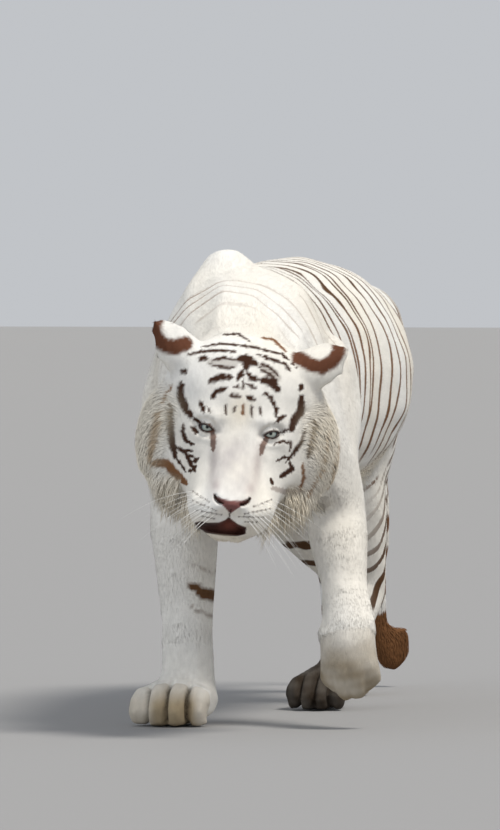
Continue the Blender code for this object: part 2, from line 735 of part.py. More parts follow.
def cut_trunk(body):
    """What is left after the legs: the rump keeps the body's object."""
    part_off(body, plate((0.0, -0.105, 0.72), (0.05, -0.90, -0.26), 0.40), "neck",
             (0.04, -0.35, 0.68))
    part_off(body, plate((0.0, 0.175, 0.68), (0, 1, 0), 0.40), "chest", (0.0, 0.0, 0.45))
    part_off(body, plate((0.0, 0.520, 0.68), (0, 1, 0), 0.40), "ribcage", (0.0, 0.35, 0.45))
    part_off(body, plate((0.0, 0.800, 0.70), (0, 1, 0.1), 0.40), "loin", (0.0, 0.65, 0.45))
    body.name = "rump"


# ---------------------------------------------------------------- finish

# Colour and roughness of what each kind of part is covered with
COVERS = {
    "white_fur": ((0.80, 0.79, 0.75), 0.85),
    "dark_fur": ((0.13, 0.08, 0.05), 0.85),
    "nose_leather": ((0.36, 0.20, 0.18), 0.45),
    "eye": ((0.45, 0.62, 0.68), 0.10),
}
COVER_OF = {"nose": "nose_leather", "left_eye": "eye", "right_eye": "eye",
            "tail_tip": "dark_fur"}


def cover_all():
    for name, (colour, roughness) in COVERS.items():
        material = bpy.data.materials.new(name)
        material.use_nodes = True
        shader = material.node_tree.nodes["Principled BSDF"]
        shader.inputs["Base Color"].default_value = (*colour, 1.0)
        shader.inputs["Roughness"].default_value = roughness
    for made in bpy.data.collections[PARTS].objects:
        made.data.materials.clear()
        made.data.materials.append(bpy.data.materials[COVER_OF.get(made.name, "white_fur")])


def stand_on_origin():
    """Moves everything so that the origin is on the floor under the middle of the whole."""
    parts = bpy.data.collections[PARTS].objects
    points = np.array([v.co for made in parts for v in made.data.vertices])
    low, high = points.min(axis=0), points.max(axis=0)
    shift = Vector((-(low[0] + high[0]) / 2, -(low[1] + high[1]) / 2, -low[2]))
    for made in parts:
        made.data.transform(Matrix.Translation(shift))


def floor_slab():
    """What lies under the soles, to be cut away."""
    builder = bmesh.new()
    bmesh.ops.create_cube(builder, size=1.0)
    width, length, thickness = 2.0, 4.0, 0.1
    place = Matrix.Translation((0, length / 8, SOLE_Z - thickness / 2))
    builder.transform(place @ Matrix.Diagonal((width, length, thickness, 1)))
    return new_object("floor", builder, CUTTERS)


def fresh_scene():
    """An empty scene with the two collections."""
    for old in list(bpy.data.objects):
        bpy.data.objects.remove(old)
    for old in list(bpy.data.collections):
        bpy.data.collections.remove(old)
    for name in (PARTS, CUTTERS):
        bpy.context.scene.collection.children.link(bpy.data.collections.new(name))


def main():
    fresh_scene()
    body = build_whole()
    subtract(body, floor_slab())
    cut_tail(body)
    cut_head(body)
    for side in (1, -1):
        cut_foreleg(body, side)
        cut_hind_leg(body, side)
    cut_trunk(body)
    cover_all()
    stand_on_origin()


main()
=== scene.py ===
# %% [markdown]
# A white tiger walks towards us with its head low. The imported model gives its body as
# plain solids, out to the tips of the coat. This lesson dresses them: one skin over the
# whole body, lids and lips pressed into it, real eyeballs, and a coat of small tapered
# locks of hair that follow the lie of the fur and carry the stripes.

import math

import bmesh
import bpy
import numpy as np
from mathutils import Matrix, Vector
from mathutils.bvhtree import BVHTree


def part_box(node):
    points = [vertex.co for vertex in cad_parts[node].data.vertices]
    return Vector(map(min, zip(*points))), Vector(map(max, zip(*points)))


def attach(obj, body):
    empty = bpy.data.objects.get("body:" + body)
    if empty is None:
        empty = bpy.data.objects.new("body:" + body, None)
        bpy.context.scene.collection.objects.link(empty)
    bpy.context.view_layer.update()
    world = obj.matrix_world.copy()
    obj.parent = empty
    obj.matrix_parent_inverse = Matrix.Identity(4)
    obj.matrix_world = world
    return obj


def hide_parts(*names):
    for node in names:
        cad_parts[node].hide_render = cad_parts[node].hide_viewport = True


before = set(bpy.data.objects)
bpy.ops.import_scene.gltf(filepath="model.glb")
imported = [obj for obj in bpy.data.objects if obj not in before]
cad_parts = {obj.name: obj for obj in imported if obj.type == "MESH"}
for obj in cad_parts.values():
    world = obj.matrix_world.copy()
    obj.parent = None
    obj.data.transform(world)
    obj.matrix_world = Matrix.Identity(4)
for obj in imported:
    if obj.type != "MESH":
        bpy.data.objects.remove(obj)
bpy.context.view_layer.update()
EYES = ("left_eye", "right_eye")
FLESH = sorted(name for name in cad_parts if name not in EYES)
print("solids of flesh:", len(FLESH))

# %% [markdown]
# Most of the work on an animal is in its head, so the head gets a frame of its own: X to
# the tiger's left, -Y along the muzzle and +Z up from it, with the origin between the
# eyes. The two eye solids say where it is and how it is turned and tilted, and the pitch
# says how far the nose is dropped. A second frame stands upright at the eyes and faces
# whoever meets the tiger: its X and Z are the flat map on which lips and marks are drawn.

# %% The head's own frame
HEAD_PITCH = math.radians(36)     # how far the level muzzle is dropped
EYE_SEAT = Vector((0.0, 0.012, -0.003))     # the eyes' middle in the head's frame


def middle(name):
    low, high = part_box(name)
    return (low + high) / 2


left_eye, right_eye = (middle(name) for name in EYES)
across = (left_eye - right_eye).normalized()
turn = Matrix.Rotation(math.atan2(across.y, across.x), 4, "Z") @ Matrix.Rotation(
    math.asin(-across.z), 4, "Y")
pitch = Matrix.Rotation(HEAD_PITCH, 4, "X")
eye_middle = (left_eye + right_eye) / 2
HEAD = Matrix.Translation(eye_middle - (turn @ pitch).to_3x3() @ EYE_SEAT) @ turn @ pitch
FACE = Matrix.Translation(eye_middle) @ turn @ Matrix.Rotation(math.radians(-1.4), 4, "X")
BACK = np.array(FACE)[:3, 1]                # the way into the face
print("eyes", round(1000 * (left_eye - right_eye).length), "mm apart")

# %% [markdown]
# Arrays are the quickest way to treat many points alike. These helpers move points
# between frames, fade a value in and out smoothly, and give a gentle wandering number
# that is the same on every run, made of a few sine waves in different directions.

# %% Helpers for arrays of points


def into(place, points):
    """Points of the world in the frame of the matrix place."""
    back = np.array(place.inverted())
    return points @ back[:3, :3].T + back[:3, 3]


def out_of(place, points):
    ahead = np.array(place)
    return points @ ahead[:3, :3].T + ahead[:3, 3]


def turned(place, vectors):
    """Vectors of the frame place, in the world."""
    return vectors @ np.array(place)[:3, :3].T


def fade(values, start, end):
    """0 before start and 1 past end, with a soft change between them."""
    t = np.clip((values - start) / (end - start), 0.0, 1.0)
    return t * t * (3.0 - 2.0 * t)


def unit(vectors):
    return vectors / np.maximum(np.linalg.norm(vectors, axis=-1, keepdims=True), 1e-9)


def mix(one, other, share):
    share = np.asarray(share)
    if np.ndim(one) > share.ndim or np.ndim(other) > share.ndim:
        share = share[..., None]
    return one * (1.0 - share) + other * share


def wander(points, wavelength, seed):
    """A smooth number from about -1 to 1 that changes over about that wavelength."""
    draw = np.random.default_rng(seed)
    total = np.zeros(len(points))
    for octave in (1.0, 1.0, 1.7, 1.7, 2.9):
        direction = unit(draw.normal(size=3))
        total += np.sin(points @ direction * (octave * 2 * math.pi / wavelength)
                        + draw.uniform(0, 2 * math.pi)) / octave ** 0.7
    return total / 2.0


print("the wandering number at the eyes:", wander(np.array([eye_middle]), 0.30, 51).round(2))

# %% [markdown]
# A mesh gives its points and triangles quickest as one long list of numbers, read in one
# call. The helpers here read such lists, and turn arrays into meshes and objects. With
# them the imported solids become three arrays: all their points, all their triangles, and
# which solid each triangle belongs to.

# %% Meshes and arrays


def read(items, name, wide=3, kind=np.float32):
    """One property of many items of a mesh, a row for each."""
    flat = np.zeros(len(items) * wide, kind)
    items.foreach_get(name, flat)
    return flat.reshape(-1, wide)


def mesh_of(points, faces, name="measured"):
    mesh = bpy.data.meshes.new(name)
    mesh.from_pydata(points, [], faces)
    return mesh


def triangles_of(mesh, what="vertices"):
    mesh.calc_loop_triangles()
    return read(mesh.loop_triangles, what, 3, np.int32)


def bmesh_of(mesh):
    """The mesh as a bmesh. The mesh itself is given up."""
    builder = bmesh.new()
    builder.from_mesh(mesh)
    bpy.data.meshes.remove(mesh)
    return builder


def placed(name, data):
    """A new object of the scene."""
    made = bpy.data.objects.new(name, data)
    bpy.context.scene.collection.objects.link(made)
    return made


def evaluated(made):
    """The mesh of an object with its modifiers applied."""
    graph = bpy.context.evaluated_depsgraph_get()
    return bpy.data.meshes.new_from_object(made.evaluated_get(graph))


def solid_arrays(names):
    """Points, triangles, and for each triangle the place of its solid in names."""
    points, triangles, owner, count = [], [], [], 0
    for index, name in enumerate(names):
        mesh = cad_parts[name].data
        points.append(read(mesh.vertices, "co").astype(float))
        triangles.append(triangles_of(mesh) + count)
        owner.append(np.full(len(triangles[-1]), index))
        count += len(mesh.vertices)
    return np.vstack(points), np.vstack(triangles), np.concatenate(owner)


solid_points, solid_triangles, solid_owner = solid_arrays(FLESH + list(EYES))
print("the solids have", len(solid_triangles), "triangles")

# %% [markdown]
# The solids meet at cuts less than half a millimetre wide. A voxel remesh of all of them
# together closes those cuts and gives one even surface of small squares, which is what
# sculpting in code needs. It can leave tiny closed bubbles inside a cut, so only the
# largest connected body is kept.
#
# A voxel grid is equally fine everywhere, but a head needs finer squares than a flank.
# So the body is first seen through a lens: a smooth map that magnifies what is near the
# face and only pushes the rest outwards. The grid is laid on the magnified body, and the
# map is then undone, which leaves small squares on the head and large ones elsewhere.

# %% One skin from the solids
VOXEL = 0.0113


def remeshed(points, faces):
    """The one closed surface round a set of solids, as a bmesh."""
    rough = placed("rough", mesh_of(points, faces.tolist(), "rough"))
    remesh = rough.modifiers.new("fuse", "REMESH")
    remesh.mode = "VOXEL"
    remesh.voxel_size = VOXEL
    builder = bmesh_of(evaluated(rough))
    bpy.data.objects.remove(rough)
    keep_largest(builder)
    return builder


def keep_largest(builder):
    """Deletes every connected body but the one with most points."""
    unseen, bodies = set(builder.verts), []
    while unseen:
        body, rim = [], [unseen.pop()]
        while rim:
            body.append(rim.pop())
            found = {edge.other_vert(body[-1]) for edge in body[-1].link_edges} & unseen
            unseen -= found
            rim.extend(found)
        bodies.append(body)
    bodies.sort(key=len)
    for body in bodies[:-1]:
        bmesh.ops.delete(builder, geom=body, context="VERTS")


LENS_REACH = 0.27         # round the middle of the head, where it magnifies in full
LENS_POWER = 2.0
LENS_MIDDLE = np.array(HEAD @ Vector((0.0, 0.030, -0.050)))


def through_lens(points, undo=False):
    """Points moved out from the middle of the head by the lens, or moved back again."""
    edge, power, push = LENS_REACH, LENS_POWER, LENS_REACH * (LENS_POWER - 1)
    if undo:
        edge, power, push = edge * power, 1 / power, -push
    away = points - LENS_MIDDLE
    far = np.linalg.norm(away, axis=1, keepdims=True)
    return LENS_MIDDLE + away * np.where(far < edge, far * power, far + push) / far


skin_builder = remeshed(through_lens(solid_points), solid_triangles)
seen = np.array([v.co for v in skin_builder.verts])
for vert, place in zip(skin_builder.verts, through_lens(seen, undo=True)):
    vert.co = place
print("squares before refining:", len(skin_builder.faces))

# %% [markdown]
# Lids, lips and toes want squares finer still. The middle of the face and the paws are
# cut once more, which keeps the whole skin light.

# %% Finer squares on the face and paws
FACE_MIDDLE = (0.0, -0.070, -0.070)       # on the bridge of the nose, in the head's frame
FACE_REACH = 0.135
FEET = ("paw", "toes")


def refine(builder, chosen):
    """Halves the squares whose corners are all chosen by a test on points."""
    builder.verts.index_update()
    picked = chosen(np.array([v.co for v in builder.verts]))
    edges = [e for e in builder.edges if picked[e.verts[0].index] and picked[e.verts[1].index]]
    bmesh.ops.subdivide_edges(builder, edges=edges, cuts=1, use_grid_fill=True)


def on_face(points):
    return np.linalg.norm(into(HEAD, points) - FACE_MIDDLE, axis=1) < FACE_REACH


def in_feet(points):
    boxes = [np.array(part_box(name)) for name in FLESH if any(word in name for word in FEET)]
    return np.any([((points > low) & (points < high)).all(axis=1) for low, high in boxes],
                  axis=0)


refine(skin_builder, lambda points: on_face(points) | in_feet(points))
skin_builder.verts.index_update()
skin_points = np.array([v.co for v in skin_builder.verts])
skin_faces = [[v.index for v in face.verts] for face in skin_builder.faces]
skin_edges = np.array([[v.index for v in edge.verts] for edge in skin_builder.edges])
skin_builder.free()
print("skin:", len(skin_points), "points,", sum(len(f) - 2 for f in skin_faces), "triangles")

# %% [markdown]
# The facets of the solids are smoothed away by moving each point towards the mean of its
# neighbours and then a little further back, which eases a surface without shrinking it.

# %% Smoothing over the web of edges
SMOOTH_ROUNDS = 10


class Web:
    """The edges of a mesh, for averaging values over neighbours."""

    def __init__(self, edges, count):
        self.one, self.other = edges.T
        self.count = count
        self.degree = np.bincount(edges.ravel(), minlength=count).astype(float)[:, None]

    def mean(self, values):
        flat = values.reshape(self.count, -1)
        total = np.stack([np.bincount(self.one, flat[self.other, c], self.count)
                          + np.bincount(self.other, flat[self.one, c], self.count)
                          for c in range(flat.shape[1])], axis=1)
        return (total / self.degree).reshape(values.shape)

    def eased(self, values, rounds):
        for _ in range(rounds):
            values = 0.5 * values + 0.5 * self.mean(values)
        return values

    def smoothed(self, points, rounds):
        for _ in range(rounds):
            points = points + 0.60 * (self.mean(points) - points)
            points = points - 0.62 * (self.mean(points) - points)
        return points


def normals_of(points):
    """The normals of the skin, with its points in these places."""
    mesh = mesh_of(points, skin_faces)
    normals = read(mesh.vertex_normals, "vector").astype(float)
    bpy.data.meshes.remove(mesh)
    return normals


web = Web(skin_edges, len(skin_points))
skin_points = web.smoothed(skin_points, SMOOTH_ROUNDS)

# %% [markdown]
# A coat isn't equally deep all over. Each solid has its own row in this table: how far the
# skin lies under the tips, and how long, wide and closely set the locks are. Every point of
# the skin takes the row of the solid nearest to it, and the numbers are then eased over the
# web of edges, so that no line shows where two solids meet.

# %% How deep the coat is
# depth, length, width and spacing, in millimetres
COVER = {
    "head": (1.3, 8, 1.5, 2.1), "muzzle": (1.0, 5, 1.2, 1.8), "jaw": (2.0, 10, 1.6, 2.2),
    "nose": (0.8, 3.5, 0.9, 1.8), "ear": (1.0, 8, 1.3, 2.1), "neck": (2.2, 18, 2.0, 3.6),
    "shoulder": (1.8, 16, 1.9, 3.6), "chest": (2.2, 18, 2.0, 3.6),
    "ribcage": (1.6, 15, 1.9, 3.5), "loin": (1.6, 15, 1.9, 3.5), "rump": (1.6, 15, 1.9, 3.5),
    "upper_arm": (1.3, 14, 1.8, 3.4), "forearm": (0.9, 12, 1.6, 3.0),
    "fore_paw": (1.5, 9, 1.6, 3.0), "fore_toes": (1.2, 6, 1.4, 2.6),
    "thigh": (1.8, 15, 1.9, 3.6), "shank": (1.6, 14, 1.8, 3.5),
    "hind_cannon": (1.6, 11, 1.7, 3.3), "hind_paw": (1.5, 9, 1.6, 3.0),
    "hind_toes": (1.2, 6, 1.4, 2.7), "tail": (4.0, 20, 2.1, 4.0),
}
EASING_ROUNDS = 40
# big plain parts, whose facets need more smoothing than the face and the paws can bear
BODY = ("neck", "chest", "ribcage", "loin", "rump", "shoulder", "arm", "thigh", "shank", "tail")
BODY_ROUNDS = 120
FEET_ROUNDS = 18
LIFTED = ("left_fore_paw", "left_fore_toes")
LIFTED_ROUNDS = 40             # more for the lifted paw, which hangs limp and round


def is_part(solid, *words):
    """Whether each solid, given by its place in FLESH, has one of the words in its name."""
    return np.isin(solid, [k for k, name in enumerate(FLESH) if any(w in name for w in words)])


def cover_row(name):
    plain = name.replace("left_", "").replace("right_", "")
    return COVER["tail" if plain.startswith("tail") else plain]


def nearest_solid(points):
    """For each point, the place in FLESH of the solid it is nearest to."""
    flesh = solid_owner < len(FLESH)
    tree = BVHTree.FromPolygons(solid_points.tolist(), solid_triangles[flesh].tolist())
    return solid_owner[flesh][[tree.find_nearest(p)[2] for p in points.tolist()]]


def share_of(words, rounds):
    """1 on the parts with these words in their names, eased to 0 over their edges."""
    return web.eased(is_part(skin_solid, *words) * 1.0, rounds)


skin_solid = nearest_solid(skin_points)
in_body = fade(share_of(BODY, 30), 0.5, 1.0)
skin_points = mix(skin_points, web.smoothed(skin_points, BODY_ROUNDS), in_body)
for words, spread, rounds in ((FEET, 6, FEET_ROUNDS), (LIFTED, 8, LIFTED_ROUNDS)):
    in_foot = fade(share_of(words, spread), 0.2, 0.9)
    skin_points = mix(skin_points, web.eased(skin_points, rounds), in_foot)
skin_normals = normals_of(skin_points)
rows = np.array([cover_row(name) for name in FLESH]) / 1000.0
cover = web.eased(rows[skin_solid], EASING_ROUNDS)
depths = 1000 * cover[:, 0]
print("coat depth:", depths.min().round(1), "to", depths.max().round(1), "mm")

# %% [markdown]
# Long hair grows in patches: the ruff behind the cheeks, the beard under the jaw, the
# throat, the chest and belly, and the fringes behind the legs. Each patch is a soft mask
# over the skin, times its own row of depth, length, width and spacing.

# %% Patches of long hair
CURTAIN_MIDDLE, CURTAIN_REACH = 0.125, 0.120      # y on the face's map, in metres
PATCH_ROUNDS = 4

# on the face's map: below the lower lip, and the curtain that hangs under both cheeks
x, y, z = into(FACE, skin_points).T
wide, near = np.abs(x), np.abs(y - CURTAIN_MIDDLE)
chin = fade(-z, 0.208, 0.222) * (1 - fade(y, 0.02, 0.06)) * (wide < 0.10)
curtain = fade(wide, 0.055, 0.080) * (1 - fade(wide, 0.135, 0.210))
curtain = curtain * is_part(skin_solid, "head", "jaw", "neck") * fade(-z, 0.092, 0.112)
curtain = curtain * (1 - fade(near, CURTAIN_REACH - 0.04, CURTAIN_REACH))

# in the head's frame: the wide collar behind the cheeks, and the jaw and throat
x, y, z = into(HEAD, skin_points).T
ruff = fade(np.abs(x), 0.100, 0.145) * fade(y, 0.000, 0.050) * (1 - fade(y, 0.190, 0.250))
ruff = ruff * (1 - fade(z, -0.010, 0.050)) * (1 - fade(-z, 0.230, 0.270))
beard = fade(-skin_normals @ np.array(HEAD)[:3, 2], 0.15, 0.65)
beard = beard * is_part(skin_solid, "head", "jaw", "neck", "chest")
beard = beard * fade(y, -0.060, 0.020) * (1 - fade(y, 0.330, 0.420)) * fade(-z, 0.120, 0.180)

# in the world: between the shoulders, along the belly, and behind the elbows and thighs
x, y, z = skin_points.T
bib = fade(-skin_normals[:, 1], -0.10, 0.40) * fade(-y, 0.46, 0.54)
bib = is_part(skin_solid, "chest", "neck") * bib
bib = bib * fade(z, 0.36, 0.44) * (1 - fade(z, 0.60, 0.68))
belly = fade(-skin_normals[:, 2], 0.45, 0.85) * fade(z, 0.36, 0.42) * (1 - fade(z, 0.60, 0.66))
belly = belly * fade(y, -0.62, -0.50) * (1 - fade(y, 0.62, 0.74))
fringe = 0.7 * fade(skin_normals[:, 1], 0.60, 0.95)
fringe = fringe * fade(z, 0.42, 0.50) * (1 - fade(z, 0.56, 0.64))

# depth, length, width and spacing, in millimetres
LONG_HAIR = (
    (chin, (4, 17, 1.8, 2.8)), (bib, (8, 40, 2.2, 4.4)), (ruff, (8, 42, 2.0, 3.6)),
    (beard, (11, 50, 2.2, 4.3)), (curtain, (8, 66, 2.4, 3.8)), (belly, (7, 36, 2.6, 5.6)),
    (fringe, (8, 32, 2.6, 5.2)),
)
long_hair = np.zeros(len(skin_points))
hanging = web.eased(curtain, PATCH_ROUNDS)
for patch, row in LONG_HAIR:
    mask = web.eased(patch, PATCH_ROUNDS)
    cover = mix(cover, np.array(row) / 1000.0, mask)
    long_hair = np.maximum(long_hair, mask)
print("long hair on", round(100 * (long_hair > 0.5).mean()), "% of the points")

# %% [markdown]
# The skin now sinks to the roots of the coat. It moves in small steps with a little easing
# between them, so that it doesn't fold where the coat is deep.

# %% The skin sinks by the coat's depth
SINK_STEPS = 8
EAR_ROUNDS = 30
EARS = ("ear",)                # this word is in forearm too, so it finds the forearms as well
in_ear = fade(share_of(EARS, 3), 0.05, 0.5)
skin_points = mix(skin_points, web.smoothed(skin_points, EAR_ROUNDS), in_ear)
for _ in range(SINK_STEPS):
    steady = unit(web.eased(skin_normals, 6))
    skin_points = skin_points - steady * cover[:, :1] / SINK_STEPS
    skin_points = mix(skin_points, web.eased(skin_points, 2), fade(cover[:, 0], 0.006, 0.014))
    skin_normals = normals_of(skin_points)

# %% [markdown]
# The solids carry the broad shape of the head. Here the skin gets what makes it a tiger's.
# Each touch of the tool is a soft push centred on a place of the flat map of the face:
# the centre is found by looking straight back onto the skin from there, the radii say how
# far the push fades, and the push is along the head's own axes. Left and right are done
# together.

# %% Shaping the face
# place on the map (x, z), radii (x, z), push (x, y, z): all in millimetres
TOUCHES = (
    ("brow", (56, 24), (34, 12), (0, -3, 3)),
    ("hollow inside the eye", (40, -6), (12, 16), (0, 5, -1)),
    ("hollow under the eye", (66, -30), (26, 13), (0, 4, -3)),
    ("cheekbone", (92, -22), (26, 22), (2, -3, 1)),
    ("cheek", (104, -82), (34, 40), (6, -6, 0)),
    ("side of the bridge", (52, -72), (15, 40), (-3, 6, -3)),
    ("wing of the nose", (26, -128), (13, 11), (3, -5, 1)),
    ("tip of the nose", (6, -143), (14, 10), (0, -5, 0)),
    ("pad of whiskers", (40, -158), (24, 22), (4, -13, -2)),
    ("lip of the pad", (28, -180), (20, 9), (0, -7, -2)),
    ("corner of the muzzle", (68, -142), (14, 24), (6, -6, 2)),
    ("behind the muzzle", (96, -138), (14, 30), (-5, 8, 0)),
    ("temple", (118, 60), (30, 34), (-3, 5, -3)),
    ("forehead", (22, 66), (20, 36), (0, -3, 2)),
    ("chin", (6, -228), (44, 15), (0, 4, 8)),
)


def skin_tree():
    builder = bmesh_of(mesh_of(skin_points, skin_faces))
    tree = BVHTree.FromBMesh(builder)
    builder.free()
    return tree


def seen_at(tree, x, z):
    """The point of the skin, in the world, that shows at a place of the face's map."""
    start = FACE @ Vector((x / 1000, -0.6, z / 1000))
    return tree.ray_cast(start, FACE.to_3x3() @ Vector((0, 1, 0)))[0]


def touched(points, centre, radii, push):
    """Points moved by a push that fades away from a centre on the face's map."""
    local = into(FACE, points) - np.array(FACE.inverted() @ centre)
    far = np.sqrt((local[:, 0] / radii[0]) ** 2 + (local[:, 2] / radii[1]) ** 2
                  + (local[:, 1] / max(radii)) ** 2)
    return points + np.exp(-far[:, None] ** 2) * turned(HEAD, np.array(push))


def softened(points, x, z, reach, rounds):
    """Points eased over the web within reach of a place on the map, on both sides."""
    flat = into(FACE, points)
    near = np.hypot(np.abs(flat[:, 0]) - x / 1000, flat[:, 2] - z / 1000)
    mask = (1 - fade(near, 0.5 * reach, reach)) * (flat[:, 1] < 0.08)
    return mix(points, web.eased(points, rounds), mask)


skin_points = softened(skin_points, 68, 28, 0.060, 120)
tree = skin_tree()
for name, place, radii, push in TOUCHES:
    for side in (1, -1):
        centre = seen_at(tree, place[0] * side, place[1])
        skin_points = touched(skin_points, centre, np.array(radii) / 1000,
                              (push[0] * side / 1000, push[1] / 1000, push[2] / 1000))
print("touches on the face:", 2 * len(TOUCHES))

# %% [markdown]
# The mouth is a little open. Its upper edge is the drooping line of the two whisker pads,
# and its lower edge the lip. Between the two lines the skin is pushed back into a dark
# hollow. The same two lines later tell the colours where the lips are, and the hollow
# between them is painted dark as shade.

# %% The mouth
UPPER_LIP = ((-66, -191), (-56, -187), (-44, -189), (-20, -186), (-9, -180), (-2, -173),
             (6, -179), (16, -185), (26, -188), (34, -190))
LOWER_LIP = ((-66, -203), (-50, -207), (-7, -209), (18, -207), (34, -201))
MOUTH_ENDS = (-0.066, 0.033)
MOUTH_DEPTH = 0.026


def line_height(line, x):
    """The height of a line on the face's map, at each x."""
    across, up = np.array(line).T / 1000.0
    return np.interp(x, across, up)


def in_mouth(points):
    """Metres inside the mouth's outline on the map, negative outside."""
    x, y, z = into(FACE, points).T
    depth = np.minimum(line_height(UPPER_LIP, x) - z, z - line_height(LOWER_LIP, x))
    depth = np.minimum(depth, np.minimum(x - MOUTH_ENDS[0], MOUTH_ENDS[1] - x))
    return np.where(y < 0.02, depth, -1.0)


def along_line(points, line):
    """How far points are from a line of straight pieces, how far along it, and its length."""
    best, run, before = np.ones(len(points)), np.zeros(len(points)), 0.0
    for a, b in zip(line, line[1:]):
        length = np.linalg.norm(b - a)
        t = np.clip((points - a) @ (b - a) / length ** 2, 0, 1)
        gap = np.linalg.norm(points - (a + t[:, None] * (b - a)), axis=1)
        run = np.where(gap < best, before + t * length, run)
        best = np.minimum(best, gap)
        before += length
    return best, run, before


def stroke(points, line, width, taper=True):
    """How much each point lies under a brush stroke on the face's map, from 0 to 1.

    The line is in millimetres. The stroke is narrow at its ends and full in the middle.
    """
    gap, run, whole = along_line(into(FACE, points)[:, [0, 2]], np.array(line, float) / 1000.0)
    run, half = run / whole, width / 2000.0
    if taper:
        half = half * (0.35 + 0.65 * np.sqrt(np.clip(4 * run * (1 - run), 0, 1)))
    return 1 - fade(gap, 0.75 * half, 1.25 * half)


def mirrored(line, side):
    return [(x * side, z) for x, z in line]


def dented(points, line, width, depth):
    """Points pushed back under a stroke."""
    front = into(FACE, points)[:, 1] < 0.02
    return points + (stroke(points, line, width) * front * depth / 1000.0)[:, None] * BACK


inside = in_mouth(skin_points)
skin_points = skin_points + (fade(inside, -0.001, 0.007) * MOUTH_DEPTH)[:, None] * BACK
NOSTRIL = ((35, -131), (31, -139), (24, -144), (17, -146))
PHILTRUM = ((0, -156), (-1, -166), (-2, -176))
for side in (1, -1):
    skin_points = dented(skin_points, mirrored(NOSTRIL, side), 9, 9)
skin_points = dented(skin_points, PHILTRUM, 7, 3)
print("mouth open by", round(1000 * inside.max() * 2), "mm")

# %% [markdown]
# An eye shows through an almond between two lids. Each lid's edge is an arc, so the almond
# is where two circles overlap, and the distance to its edge is simple to work out. Skin
# inside the almond is pressed behind the eyeball. Skin outside lies on the ball just above
# it, thick at the edge, and runs out into the face. Points that lie close to the edge are
# moved onto it, which gives a clean rim from a mesh of plain squares.

# %% Lids
EYE_BACK = 0.0045              # how far the eyeballs sit behind the solids' eyes
BALL_RADIUS = 0.0175
LID_THICKNESS = 0.0022
LID_REACH = 0.045              # past this from the ball's middle the face is left alone
SNAP = 0.0009                  # points nearer than this to the opening's edge move onto it
HALF_LENGTH = 0.0152           # of the opening
RISE, DROP = 0.0060, 0.0066    # of the upper and the lower lid's edge
SLANT = math.radians(13)       # the outer corners are higher


def eye_frame(side):
    """Where an eyeball sits: X to the outer corner, Z up and Y into the head."""
    facing = (HEAD.to_3x3() @ Vector((0.26 * side, -0.80, 0.52))).normalized()
    outward = FACE.to_3x3() @ Vector((side * math.cos(SLANT), 0, math.sin(SLANT)))
    outward = (outward - outward.dot(facing) * facing).normalized()
    up = outward.cross(-facing) * side
    seat = (left_eye if side > 0 else right_eye) - facing * EYE_BACK
    rows = Matrix((outward, -facing, up)).transposed().to_4x4()
    return Matrix.Translation(seat) @ rows


def almond(across, up):
    """Distance outside the edge of the opening, negative inside, and the way out of it."""
    best = np.full(len(across), -1.0)
    way = np.zeros((len(across), 2))
    for height, sign in ((RISE, 1), (DROP, -1)):
        radius = (HALF_LENGTH ** 2 + height ** 2) / (2 * height)
        centre = sign * (height - radius)
        gap = np.hypot(across, up - centre) - radius
        outer = gap > best
        best = np.where(outer, gap, best)
        out = unit(np.stack((across, up - centre), axis=1))
        way = np.where(outer[:, None], out, way)
    return best, way


def with_lids(points, side):
    """Points laid on the ball as lids, and pressed behind it inside the opening."""
    place = eye_frame(side)
    local = into(place, points)
    near = (np.linalg.norm(local, axis=1) < LID_REACH) & (local[:, 1] < 0.004)
    q = local[near]
    gap, way = almond(q[:, 0], q[:, 2])
    snapped = np.abs(gap) < SNAP
    q[snapped, 0] -= (gap * way[:, 0])[snapped]
    q[snapped, 2] -= (gap * way[:, 1])[snapped]
    gap = np.where(snapped, 0.0, gap)
    reach = np.hypot(q[:, 0], q[:, 2])

    def depth_on(radius):
        return -np.sqrt(np.maximum(radius ** 2 - reach ** 2, (0.35 * radius) ** 2))

    on_lid = depth_on(BALL_RADIUS + LID_THICKNESS)
    outside = mix(on_lid, q[:, 1], fade(gap, 0.003, 0.019))
    pressed = mix(on_lid, depth_on(BALL_RADIUS) + 0.004, fade(-gap, 0.0, 0.0016))
    q[:, 1] = np.where(gap > -1e-6, outside, pressed)
    local[near] = q
    return out_of(place, local)


def lid_gap(points):
    """Distance outside the nearer eye's opening, for colours and for the coat."""
    result = np.full(len(points), 1.0)
    for side in (1, -1):
        local = into(eye_frame(side), points)
        gap = almond(local[:, 0], local[:, 2])[0]
        result = np.where((local[:, 1] < 0.01) & (gap < result), gap, result)
    return result


for side in (1, -1):
    skin_points = with_lids(skin_points, side)
skin_normals = normals_of(skin_points)
print("eye opening", round(2000 * HALF_LENGTH), "by", round(1000 * (RISE + DROP)), "mm")

# %% [markdown]
# A paw is four toes side by side. The solid gives their common outline, so the skin gets
# three grooves that run back over the toes and fade out on the instep, and each toe swells
# a little between its grooves. The grooves lie across the box of the toes' solid, in
# shares of its width.

# %% Toes
GROOVES = (0.27, 0.51, 0.75)
GROOVE_DEPTH = 0.011
GROOVE_WIDTH = 0.0050


